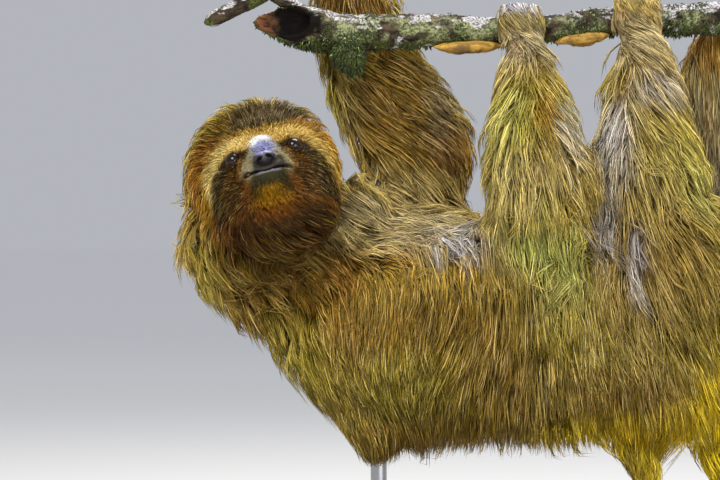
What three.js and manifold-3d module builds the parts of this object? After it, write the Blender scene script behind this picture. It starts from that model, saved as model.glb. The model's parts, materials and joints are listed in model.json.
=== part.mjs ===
// A life-size brown-throated three-toed sloth that hangs, back down, from a mossy branch, held over a flat
// display base by two short rods. Millimetres, +Z up. The head is at -X and the near side of the body at -Y.
// Every solid runs out to the tips of the coat. Flesh, claws, perch and stand are separate, with a thin gap
// where they meet.
import * as THREE from "three";
import { mergeVertices } from "three/addons/utils/BufferGeometryUtils.js";
import Module from "manifold-3d";

// ---- driving dimensions -------------------------------------------------------------------------------
const GAP = 0.35; // clear space between neighbouring solids

const BASE = { length: 340, width: 230, height: 18, corner: 26, edge: 3 };
const ROD = { radius: 6, sink: 44, y: 20, alongX: [14, 212] }; // sink: how far a rod goes into the trunk
const CLAW = { radius: 4.2, tip: 0.9, spacing: 11.5 };

// The head's own frame: it faces the near side, is lifted by PITCH and leans over by ROLL.
const HEAD = { centre: [-64.5, -84, 301], pitch: 22, roll: 14 };
const EYE = { radius: 5.7, apart: 43.5, up: 4.8, forward: 27.2 };

// ---- materials ----------------------------------------------------------------------------------------
const finish = (color, roughness, metalness = 0) =>
  new THREE.MeshStandardMaterial({ color, roughness, metalness });
const FINISH = {
  coat: finish(0x8a6a34, 0.85),
  face: finish(0x9c7a45, 0.8),
  nose: finish(0x3b3638, 0.45),
  eye: finish(0x1a0f0a, 0.08),
  claw: finish(0xb29a6c, 0.4),
  bark: finish(0x5a5146, 0.9),
  moss: finish(0x5d7a2a, 0.95),
  deadwood: finish(0xc08a2e, 0.8),
  base: finish(0x33312f, 0.5),
  rod: finish(0xb8bcc0, 0.3, 1),
};

// ---- solids -------------------------------------------------------------------------------------------
const wasm = await Module();
wasm.setup();

/** A geometry as a solid for joining and cutting, turned to face outwards. */
function solidOf(geometry) {
  const bare = geometry.clone();
  bare.deleteAttribute("normal");
  bare.deleteAttribute("uv");
  const merged = mergeVertices(bare, 1e-3);
  const corners = Array.from(merged.index.array);
  const vertProperties = merged.attributes.position.array;
  // A triangle at a pole has two corners at one point.
  const triVerts = [];
  for (let i = 0; i < corners.length; i += 3) {
    const [a, b, c] = corners.slice(i, i + 3);
    if (a !== b && b !== c && c !== a) triVerts.push(a, b, c);
  }
  const build = (tris) =>
    new wasm.Manifold(new wasm.Mesh({ numProp: 3, vertProperties, triVerts: new Uint32Array(tris) }));
  const made = build(triVerts);
  if (made.volume() > 0) return made;
  return build(triVerts.reverse());
}

/** A solid's triangles as a geometry. */
function geometryOf(solid) {
  const { vertProperties, triVerts, numProp } = solid.getMesh();
  const places = new Float32Array((vertProperties.length / numProp) * 3);
  for (let i = 0; i < places.length / 3; i++)
    for (let k = 0; k < 3; k++) places[3 * i + k] = vertProperties[numProp * i + k];
  const geometry = new THREE.BufferGeometry();
  geometry.setAttribute("position", new THREE.BufferAttribute(places, 3));
  geometry.setIndex(new THREE.BufferAttribute(new Uint32Array(triVerts), 1));
  geometry.computeVertexNormals();
  return geometry;
}

/**
 * A closed body along a smooth line. Each station is [x, y, z, half-width along `across`, half-width the
 * other way]. Its ends round off at the first and last station; a higher `blunt` makes them fuller. `even`
 * spaces its rings evenly at 1 and closer at the ends at 0. `bumps` scales the section at (share of the
 * length, angle round it).
 */
function sweep(stations, options = {}) {
  const { around = 12, along = 8, across = [0, 1, 0], blunt = 6, even = 0.5, bumps = () => 1 } = options;
  const line = new THREE.CatmullRomCurve3(stations.map((s) => new THREE.Vector3(s[0], s[1], s[2])));
  line.curveType = "catmullrom";
  const widths = new THREE.SplineCurve(stations.map((s) => new THREE.Vector2(s[3], s[4] ?? s[3])));
  return (grow = 0) => {
    const geometry = new THREE.SphereGeometry(1, around, along);
    const place = geometry.attributes.position;
    for (let i = 0; i < place.count; i++) {
      const height = THREE.MathUtils.clamp(place.getY(i), -1, 1);
      const angle = Math.atan2(place.getZ(i), place.getX(i));
      // -1 at the first station and 1 at the last
      const reach = THREE.MathUtils.lerp(-height, (2 * Math.acos(height)) / Math.PI - 1, even);
      const share = (1 + reach) / 2;
      const atTip = Math.abs(reach) > 0.9999;
      const fullness = atTip ? 0 : Math.sqrt(1 - Math.abs(reach) ** blunt);
      const forward = line.getTangent(share);
      const side = new THREE.Vector3(...across);
      side.addScaledVector(forward, -side.dot(forward)).normalize();
      const other = new THREE.Vector3().crossVectors(forward, side);
      const width = widths.getPoint(share);
      const swell = fullness * bumps(share, angle);
      const out = grow * Math.min(1, 3 * fullness);
      const point = line.getPoint(share).addScaledVector(forward, grow * reach);
      point.addScaledVector(side, (width.x * swell + out) * Math.cos(angle));
      point.addScaledVector(other, (width.y * swell + out) * Math.sin(angle));
      place.setXYZ(i, point.x, point.y, point.z);
    }
    return solidOf(geometry);
  };
}

/** An ellipsoid in a frame of its own: centre and half-sizes along the frame's three axes. */
function ellipsoid(frame, centre, half, around = 16, along = 12) {
  return (grow = 0) => {
    const geometry = new THREE.SphereGeometry(1, around, along);
    geometry.scale(half[0] + grow, half[1] + grow, half[2] + grow);
    geometry.translate(...centre);
    geometry.applyMatrix4(frame);
    return solidOf(geometry);
  };
}

/** Several shapes joined as one. */
const joined =
  (...shapes) =>
  (grow = 0) =>
    shapes.map((shape) => shape(grow)).reduce((whole, next) => whole.add(next));

/** The largest body of a solid, without the crumbs that a cut leaves. */
const largest = (solid) => solid.decompose().sort((a, b) => b.volume() - a.volume())[0];

const model = new THREE.Group();
const placed = [];

/** Adds a named mesh. It gives way to every solid added before it, and to those in `around`. */
function add(name, shape, material) {
  let solid = shape(0);
  const box = solid.boundingBox();
  for (const earlier of placed) {
    const apart = [0, 1, 2].some((k) => box.min[k] > earlier.box.max[k] || earlier.box.min[k] > box.max[k]);
    if (!apart) solid = solid.subtract(earlier.grown);
  }
  const mesh = new THREE.Mesh(geometryOf(largest(solid)), material);
  mesh.name = name;
  model.add(mesh);
  const grown = shape(GAP);
  placed.push({ grown, box: grown.boundingBox() });
}

// ---- the perch ----------------------------------------------------------------------------------------
/** Bark's unevenness: long swellings and knots, the same on every run. */
const bark = (depth) => (share, angle) =>
  1 +
  depth * Math.sin(9 * share * Math.PI + 2 * Math.sin(angle)) +
  depth * 0.7 * Math.sin(23 * share + 3 * angle) +
  depth * 0.5 * Math.cos(41 * share - 2 * angle);

/** The branch from its broken end to its cut end: x, y, z and radius. */
const BRANCH = [
  [-97, -3, 416, 5], [-84, -3, 415.5, 9], [-71, -2, 415, 13.5], [-54, -1, 412, 16.5], [-34, 0, 410, 15.2],
  [-7, 0, 409, 14], [30, 0, 409.5, 13], [67, 0, 410, 11.6], [95, 0, 410, 10.8], [126, 0, 410.5, 10.4],
  [160, 0, 414, 10.5], [180, 0, 416.5, 10.4], [215, 0, 418, 11.4], [252, 0, 419.5, 12],
  [296, 0, 422, 11.6], [330, 0, 424, 11.4], [370, 0, 426, 11.2],
];
const SAWN_AT = 344; // where the branch is sawn off, along X

function branchWood() {
  const wood = sweep(BRANCH, { around: 10, along: 26, blunt: 30, bumps: bark(0.04) });
  // The left end is broken off and rotted hollow, with the hollow's mouth on the near side.
  const hollow = sweep([[-100, -17, 418, 7], [-84, -15, 417, 11], [-68, -13, 416, 13.5], [-50, -8, 413, 8]], {
    around: 8, along: 6, blunt: 3,
  });
  const sawnOff = (grow) => {
    const cut = new THREE.BoxGeometry(80, 80, 80);
    cut.translate(SAWN_AT + grow + 40, 0, 425);
    return wood(grow).subtract(solidOf(cut));
  };
  return (grow) => (grow ? sawnOff(grow) : sawnOff(0).subtract(hollow(0)));
}

function sideShoot() {
  const twig = sweep(
    [[-117, 5, 415, 5.4], [-97, 8, 425, 6.2], [-73, 12, 438, 6.4], [-45, 22, 457, 6.4],
     [-11, 38, 478, 6.6], [14, 44, 490, 6.4], [40, 46, 501, 5.6]],
    { around: 8, along: 12, blunt: 24, bumps: bark(0.06) },
  );
  const stem = sweep([[-34, -1, 414, 8], [-44, 2, 424, 6.8], [-55, 6, 432, 6.2], [-68, 12, 441, 5.6]], {
    around: 8, along: 6, blunt: 12, bumps: bark(0.05),
  });
  return joined(twig, stem);
}

/** A flap of dead, peeled wood under the branch, between two places along it. */
const peeledFlap = ([fromX, fromZ], [toX, toZ]) =>
  sweep([[fromX, -5, fromZ, 5, 3], [(fromX + toX) / 2, -6, (fromZ + toZ) / 2 - 1, 9, 5.4], [toX, -5, toZ, 6, 3.4]], {
    around: 8, along: 5, blunt: 3,
  });

add("perch_branch", branchWood(), FINISH.bark);
add("perch_shoot", sideShoot(), FINISH.bark);
add("perch_deadwood_1", peeledFlap([52, 396], [106, 397]), FINISH.deadwood);
add("perch_deadwood_2", peeledFlap([143, 400], [186, 405]), FINISH.deadwood);
add(
  "perch_moss",
  sweep([[-16, -10, 402, 6, 9], [-9, -13, 394, 8, 11], [-5, -12, 384, 5, 7], [-4, -11, 377, 2, 3]], {
    around: 8, along: 6, blunt: 3,
  }),
  FINISH.moss,
);

// ---- the head -----------------------------------------------------------------------------------------
const headFrame = new THREE.Matrix4()
  .makeRotationY(THREE.MathUtils.degToRad(-HEAD.roll))
  .multiply(new THREE.Matrix4().makeRotationX(THREE.MathUtils.degToRad(-HEAD.pitch)))
  .setPosition(...HEAD.centre);
/** An ellipsoid on the head: its place, and its half-sizes to the side, up and forward. */
const headBall = ([aside, up, forward], [wide, tall, deep], around = 8, along = 5) =>
  ellipsoid(headFrame, [aside, -forward, up], [wide, deep, tall], around, along);

for (const [name, side] of [["eye_left", 1], ["eye_right", -1]]) {
  const { radius, apart, up, forward } = EYE;
  add(name, headBall([(side * apart) / 2, up, forward], [radius, radius, radius], 9, 6), FINISH.eye);
}
add(
  "nose",
  joined(headBall([0.5, -8, 49.5], [10.5, 7, 7.5], 10, 7), headBall([0.5, -12, 50.5], [7.5, 4, 6])),
  FINISH.nose,
);
add(
  "head",
  joined(
    headBall([0, 2, -9], [53, 51, 42], 14, 9), // face and cheeks, out to the fur
    headBall([-5.5, 18, -24], [57, 57, 38], 16, 9), // long hair of the crown
    headBall([0, -28, -6], [47, 36, 36], 12, 7), // ruff under the chin
    headBall([0, -11, 29], [20, 15, 23], 10, 6), // snout
    headBall([0.5, 2.5, 30], [13, 14.5, 18], 10, 6), // bridge of the nose
    headBall([0, -22, 26], [17, 8, 22]), // lower jaw
    headBall([19, 13, 20], [14, 8, 13]), // brows
    headBall([-19, 13, 20], [14, 8, 13]),
  ),
  FINISH.face,
);

// ---- hands, feet and claws ----------------------------------------------------------------------------
/** The bars that the four limbs hook over, each at its own limb: their middle and radius. */
const BARS = {
  hand_right: { x: 118, y: 0, z: 410.5, radius: 10.6 },
  foot_right: { x: 203, y: 0, z: 417.6, radius: 11.4 },
  hand_left: { x: -6, y: 40, z: 480.5, radius: 6.8 },
  foot_left: { x: 298, y: 0, z: 422, radius: 11.6 },
};
/** Which side of its bar a limb comes up: -1 in front, 1 behind. */
const SIDE = { hand_right: -1, foot_right: -1, hand_left: 1, foot_left: 1 };

/** A place round a limb's bar: its height above level is `degrees`, from the limb's own side over the top. */
function roundBar(limb, degrees, orbit, aside = 0) {
  const angle = THREE.MathUtils.degToRad(degrees);
  const { x, y, z } = BARS[limb];
  return [x + aside, y + SIDE[limb] * orbit * Math.cos(angle), z + orbit * Math.sin(angle)];
}

/** Three claws, each a curved horn that leaves the hand over the bar, goes down behind it and under it. */
function addClaws(limb, from, to) {
  const radii = [1, 1, 0.95, 0.86, 0.7, 0.48, CLAW.tip / CLAW.radius].map((share) => share * CLAW.radius);
  for (const step of [-1, 0, 1]) {
    const orbit = BARS[limb].radius + CLAW.radius + 1;
    const end = to - 10 * Math.abs(step);
    const stations = radii.map((radius, i) => {
      const degrees = THREE.MathUtils.lerp(from, end, i / (radii.length - 1));
      return [...roundBar(limb, degrees, orbit, step * CLAW.spacing), radius * 0.85, radius];
    });
    const shape = sweep(stations, { around: 6, along: 7, blunt: 8, across: [1, 0, 0], even: 0.9 });
    add(`claw_${limb}_${step + 2}`, shape, FINISH.claw);
  }
}

/** A furred hand or foot hooked over its bar: half-width at the wrist and knuckles, thickness at each. */
function hook(limb, [wrist, knuckles], [under, over]) {
  const steps = 6;
  const stations = Array.from({ length: steps }, (_, i) => {
    const share = i / (steps - 1);
    const thick = THREE.MathUtils.lerp(under, over, Math.sqrt(share));
    const place = roundBar(limb, THREE.MathUtils.lerp(-48, 104, share), BARS[limb].radius + thick + 0.8);
    return [...place, THREE.MathUtils.lerp(wrist, knuckles, share), thick];
  });
  return sweep(stations, { around: 10, along: 8, across: [1, 0, 0], blunt: 5, even: 0.6 });
}

addClaws("hand_right", 66, 246);
addClaws("foot_right", 66, 246);
addClaws("hand_left", 66, 262);
addClaws("foot_left", 66, 246);
add("hand_right", hook("hand_right", [19.5, 18], [9, 5.2]), FINISH.coat);
add("foot_right", hook("foot_right", [21, 19], [9.5, 5.8]), FINISH.coat);
add("hand_left", hook("hand_left", [29, 19], [12, 6]), FINISH.coat);
add("foot_left", hook("foot_left", [27, 21], [11, 6]), FINISH.coat);

// ---- trunk and rods -----------------------------------------------------------------------------------
const TRUNK = [
  [-70, -6, 224, 44, 40], [-34, -3, 208, 68, 66], [4, 0, 198, 84, 84], [36, 0, 193, 89, 90],
  [89, 0, 193, 89, 87], [148, 0, 190, 86, 84], [207, 2, 188, 86, 83], [252, 4, 180, 84, 78],
  [296, 5, 172, 72, 72], [328, 5, 172, 48, 52],
];
/** The height of the trunk's underside at x. */
function trunkUnderside(x) {
  const after = TRUNK.findIndex((station) => station[0] > x);
  const [from, to] = [TRUNK[after - 1], TRUNK[after]];
  const share = (x - from[0]) / (to[0] - from[0]);
  return THREE.MathUtils.lerp(from[2] - from[4], to[2] - to[4], share);
}

/** A round rod from the base's top into the trunk. */
const rod = (x) => (grow) => {
  const top = trunkUnderside(x) + ROD.sink + grow;
  const foot = BASE.height + GAP;
  const shape = new THREE.CylinderGeometry(ROD.radius + grow, ROD.radius + grow, top - foot, 20);
  shape.rotateX(Math.PI / 2);
  shape.translate(x, ROD.y, (top + foot) / 2);
  return solidOf(shape);
};
ROD.alongX.forEach((x, i) => add(`stand_rod_${i + 1}`, rod(x), FINISH.rod));

add(
  "trunk",
  joined(
    sweep(TRUNK, { around: 18, along: 13, blunt: 5 }),
    // long hair that hangs below the shoulder, and a lock below the hip
    sweep([[-18, -8, 136, 30, 22], [8, -8, 130, 50, 32], [34, -6, 132, 40, 24]], { around: 10, along: 6, blunt: 3 }),
    sweep([[188, -8, 128, 23], [200, -9, 104, 17], [208, -10, 90, 13], [214, -11, 78, 10], [219, -12, 66, 5]], {
      around: 8, along: 7,
    }),
  ),
  FINISH.coat,
);

// ---- the limbs ----------------------------------------------------------------------------------------
const addLimb = (name, stations, across = [1, 0, 0]) => add(name, sweep(stations, { across }), FINISH.coat);

addLimb("forearm_right", [
  [118.5, -20, 408, 17, 9], [120, -28, 393, 21, 15], [124, -42, 362, 30, 25], [125, -52, 338, 36, 31],
  [124, -60, 318, 41, 36], [128, -67, 290, 43, 39], [132, -71, 250, 44, 40], [136, -72, 210, 37, 33],
]);
addLimb("shin_right", [
  [203.5, -20, 414, 18, 9], [204, -28, 399, 23, 15], [205, -44, 366, 32, 26], [206.5, -53, 336, 38, 32],
  [209, -60, 312, 44.5, 37], [213, -65, 286, 48.5, 41], [222, -68, 240, 45, 39],
]);
addLimb("forearm_left", [
  [-7, 51, 480, 22, 9], [-6, 54, 458, 32, 18], [-4, 54, 430, 37.5, 25], [6, 53, 391, 42, 30],
  [19, 54, 364, 46.5, 33], [36, 56, 338, 50.5, 35], [50, 57, 310, 50, 35], [62, 56, 274, 38, 30],
]);
addLimb("shin_left", [
  [296, 22, 424, 28, 9], [287, 34, 404, 42, 18], [280, 46, 375, 44, 27], [276, 53, 335, 44, 35],
  [274, 56, 290, 44, 38], [273, 56, 240, 42, 38],
]);
addLimb(
  "upper_arm_right",
  [[158, -70, 232, 38, 36], [110, -68, 226, 43, 40], [66, -60, 226, 42, 38], [24, -44, 226, 32, 30]],
  [0, 0, 1],
);
addLimb(
  "upper_arm_left",
  [[78, 54, 300, 34, 32], [48, 54, 280, 42, 36], [18, 48, 258, 42, 36], [-8, 34, 238, 30, 28]],
  [0, 0, 1],
);
addLimb("thigh_right", [
  [214, -68, 300, 40, 30], [220, -70, 262, 50, 40], [232, -62, 222, 55, 44], [250, -42, 178, 46, 38],
]);
addLimb("thigh_left", [
  [274, 56, 292, 38, 30], [274, 58, 252, 46, 38], [270, 52, 212, 50, 42], [262, 36, 170, 42, 34],
]);

// ---- neck and tail ------------------------------------------------------------------------------------
add(
  "neck",
  joined(
    sweep([[-68, -64, 294, 42], [-85, -44, 267, 56], [-81, -22, 244, 51], [-58, -8, 227, 46],
           [-32, 0, 212, 58], [0, 2, 204, 62]], { around: 14, along: 8, across: [1, 0, 0], blunt: 4 }),
    sweep([[-6, -16, 316, 30], [-6, -15, 270, 36], [0, -12, 210, 40]], { around: 10, along: 6, blunt: 3 }),
  ),
  FINISH.coat,
);

add(
  "tail",
  sweep([[258, 4, 150, 28], [267, 6, 122, 28], [272, 6, 94, 24], [272, 6, 70, 15]], { blunt: 4 }),
  FINISH.coat,
);

// ---- the base -----------------------------------------------------------------------------------------
/** A flat plate with round corners and a bevelled edge, centred at (x, y). */
function basePlate(x, y) {
  const { length, width, height, corner, edge } = BASE;
  const outline = new THREE.Shape();
  const [right, back] = [length / 2 - corner, width / 2 - corner];
  const quarter = Math.PI / 2;
  outline.absarc(right, back, corner - edge, 0, quarter);
  outline.absarc(-right, back, corner - edge, quarter, 2 * quarter);
  outline.absarc(-right, -back, corner - edge, 2 * quarter, 3 * quarter);
  outline.absarc(right, -back, corner - edge, 3 * quarter, 4 * quarter);
  const plate = new THREE.ExtrudeGeometry(outline, {
    depth: height - 2 * edge, bevelSize: edge, bevelThickness: edge, bevelSegments: 1, curveSegments: 4,
  });
  plate.translate(x, y, edge);
  return () => solidOf(plate);
}
const middle = new THREE.Box3().setFromObject(model).getCenter(new THREE.Vector3());
add("stand_base", basePlate(middle.x, middle.y), FINISH.base);

// The origin is on the floor, under the middle of the model.
model.position.set(-middle.x, -middle.y, 0);

export default model;
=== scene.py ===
"""A three-toed sloth that hangs by its claws from a branch, on a display stand."""

import json
import math
from contextlib import contextmanager

import bmesh
import bpy
import numpy as np
from bpy.props import FloatProperty, FloatVectorProperty, IntProperty, PointerProperty
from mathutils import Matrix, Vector, kdtree
from mathutils.bvhtree import BVHTree

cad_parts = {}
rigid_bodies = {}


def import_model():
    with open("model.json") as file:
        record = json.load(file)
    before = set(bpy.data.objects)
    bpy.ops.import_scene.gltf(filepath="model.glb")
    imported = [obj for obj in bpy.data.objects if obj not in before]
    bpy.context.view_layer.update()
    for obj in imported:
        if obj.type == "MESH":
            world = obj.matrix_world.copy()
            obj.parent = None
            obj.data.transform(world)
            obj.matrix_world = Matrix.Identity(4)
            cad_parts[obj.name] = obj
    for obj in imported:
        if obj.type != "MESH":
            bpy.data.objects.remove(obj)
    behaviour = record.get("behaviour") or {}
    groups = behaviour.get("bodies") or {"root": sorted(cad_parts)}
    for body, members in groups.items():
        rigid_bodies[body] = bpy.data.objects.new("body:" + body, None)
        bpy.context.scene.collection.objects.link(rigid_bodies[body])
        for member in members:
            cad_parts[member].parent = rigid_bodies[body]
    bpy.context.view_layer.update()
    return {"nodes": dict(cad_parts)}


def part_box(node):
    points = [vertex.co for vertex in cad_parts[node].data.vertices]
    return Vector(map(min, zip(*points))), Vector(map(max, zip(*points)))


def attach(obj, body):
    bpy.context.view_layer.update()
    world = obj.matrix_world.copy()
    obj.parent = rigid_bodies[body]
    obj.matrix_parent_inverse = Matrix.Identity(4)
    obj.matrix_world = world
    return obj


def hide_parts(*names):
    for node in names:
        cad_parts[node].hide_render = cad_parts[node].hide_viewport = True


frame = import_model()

bl_info = {
    "name": "Three-toed sloth",
    "version": (1, 0, 0),
    "blender": (4, 5, 0),
    "location": "3D View > Sidebar > Sloth",
    "description": "Skin, coat, face, claws, perch and display stand of a hanging three-toed sloth",
    "category": "Object",
}

MM = 0.001
ROOT = "root"

# The body's own millimetres: the first stand rod stands at ROD_AT, and heights are measured from the floor.
ROD_AT = np.array([14.0, 20.0])
ROD_LOW, ROD_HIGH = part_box("stand_rod_1")
ORIGIN = np.array([
    (ROD_LOW.x + ROD_HIGH.x) / 2 / MM - ROD_AT[0], (ROD_LOW.y + ROD_HIGH.y) / 2 / MM - ROD_AT[1], 0.0])

LIMBS = ("hand", "foot", "forearm", "shin", "upper_arm", "thigh")
FLESH = ["head", "neck", "trunk", "tail"]
FLESH += [f"{part}_{side}" for part in LIMBS for side in ("left", "right")]

# How the head is carried: its centre, how far it is tipped back, and how far it leans over.
HEAD_CENTRE = np.array([-64.5, -84.0, 301.0])
HEAD_PITCH, HEAD_ROLL = math.radians(22), math.radians(14)
ROLL_COS, ROLL_SIN = math.cos(HEAD_ROLL), math.sin(HEAD_ROLL)
PITCH_COS, PITCH_SIN = math.cos(HEAD_PITCH), math.sin(HEAD_PITCH)
ASIDE = np.array([ROLL_COS, 0.0, ROLL_SIN])
UPWARD = np.array([-ROLL_SIN * PITCH_COS, PITCH_SIN, ROLL_COS * PITCH_COS])
FORWARD = np.array([-ROLL_SIN * PITCH_SIN, -PITCH_COS, ROLL_COS * PITCH_SIN])
NOSE_ON_FACE = np.array([0.5, -9.0, 48.0])
# Past this distance from the head's middle its own markings and lie of hair have faded out.
HEAD_EDGE = 66.0
DOWN = np.array([0.0, 0.0, -1.0])


def tint(code):
    """A colour from its six web digits, as linear light."""
    parts = [int(code[i:i + 2], 16) / 255 for i in (0, 2, 4)]
    return tuple(c / 12.92 if c <= 0.04045 else ((c + 0.055) / 1.055) ** 2.4 for c in parts)


def to_body(points):
    """Metres in the frame to the body's own millimetres."""
    return np.asarray(points, float) / MM - ORIGIN


def to_frame(points):
    """The body's own millimetres to metres in the frame."""
    return (np.asarray(points, float) + ORIGIN) * MM


def to_face(points):
    """The body's millimetres to the head's own: aside, upward and forward of its centre."""
    away = np.asarray(points, float) - HEAD_CENTRE
    return np.stack([away @ ASIDE, away @ UPWARD, away @ FORWARD], axis=-1)


def from_face(local):
    local = np.asarray(local, float)
    return HEAD_CENTRE + local[..., 0:1] * ASIDE + local[..., 1:2] * UPWARD + local[..., 2:3] * FORWARD


def smoothstep(low, high, value):
    t = np.clip((value - low) / (high - low), 0, 1)
    return t * t * (3 - 2 * t)


def unit(vectors):
    return vectors / np.maximum(np.linalg.norm(vectors, axis=-1, keepdims=True), 1e-9)


def rough_field(points, grain, seed):
    """Smooth noise from -1 to 1 over points, with lumps about grain across."""
    cell = points / grain + seed * 17.31
    base = np.floor(cell)
    part = cell - base
    part = part * part * (3 - 2 * part)
    total = np.zeros(len(points))
    for corner in range(8):
        step = np.array([corner & 1, corner >> 1 & 1, corner >> 2 & 1])
        value = np.sin((base + step) @ np.array([127.1, 311.7, 74.7]) + seed * 3.7) * 43758.5453
        value = (value - np.floor(value)) * 2 - 1
        total += value * np.prod(np.where(step, part, 1 - part), axis=1)
    return total


def nearness(points, place, reach):
    """1 at a place, fading out over its reach."""
    return np.exp(-np.sum(((points - np.array(place)) / reach) ** 2, axis=1))


def path_distance(points, path):
    """How far each point of a plane lies from a path of straight stretches."""
    best = np.full(len(points), 1e9)
    for a, b in zip(np.asarray(path[:-1], float), np.asarray(path[1:], float)):
        along = np.clip((points - a) @ (b - a) / ((b - a) @ (b - a)), 0, 1)
        best = np.minimum(best, np.linalg.norm(points - a - along[:, None] * (b - a), axis=1))
    return best


def oval(local, aside, up, wide, tall):
    """Distance on the face from a point of it, with a wide or tall oval counted as round."""
    return np.hypot((local[:, 0] - aside) / wide, (local[:, 1] - up) / tall)


# ---- sizes and colours that a user would change


def length_property(name, metres, description):
    return FloatProperty(name=name, description=description, default=metres, unit="LENGTH")


def power_property(name, watts, description):
    return FloatProperty(name=name, description=description, default=watts, unit="POWER")


def colour_property(name, code, description):
    return FloatVectorProperty(
        name=name, description=description, subtype="COLOR", size=3, min=0, max=1, default=tint(code))


class SkinSettings(bpy.types.PropertyGroup):
    voxel: length_property("Skin grain", 0.003, "Spacing of the skin's mesh")
    depth_share: FloatProperty(
        name="Depth share", description="Coat depth as a share of the body's thickness", default=0.15,
        subtype="FACTOR")
    depth_most: length_property("Deepest coat", 0.017, "Coat depth over the trunk")
    depth_face: length_property("Face coat", 0.0014, "Coat depth on the face")


class CoatSettings(bpy.types.PropertyGroup):
    hair: length_property("Hair width", 0.00056, "Width of a hair on the body")
    face_hair: length_property("Face hair width", 0.00032, "Width of a hair on the face")
    body_length: length_property("Body hair", 0.050, "Length of the body's hair")
    seed: IntProperty(name="Seed", description="Changes the scatter of the coat", default=7)


class CoatColours(bpy.types.PropertyGroup):
    umber: colour_property("Umber", "46290f", "Deep undercoat")
    earth: colour_property("Earth", "1d120a", "Eye stripes and creases")
    chestnut: colour_property("Chestnut", "74400f", "Ruff and neck")
    rust: colour_property("Rust", "bb6c1a", "Cheeks and chest")
    gold: colour_property("Gold", "be952a", "Flanks")
    # amber: mostly painted backlight on the rump and tail; on the head it is a warm hair colour
    amber: colour_property("Amber", "ffe012", "Rump and tail")
    straw: colour_property("Straw", "d9c68a", "Pale hairs")
    cream: colour_property("Cream", "f2da8e", "Brows")
    olive: colour_property("Olive", "a89a26", "Algae-stained hair")
    moss: colour_property("Leaf green", "c4cd70", "Strongest algae stain")
    tan: colour_property("Tan", "ab9c80", "Wrists and ankles")
    # silver_sheen: pale hair with painted sheen, laid where light catches the coat
    silver_sheen: colour_property("Silver", "d0d3ec", "Pale, frosted hair")


def coat_colour(name):
    return np.array(getattr(bpy.context.scene.sloth_colours, name))


# ---- markings of the coat

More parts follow.
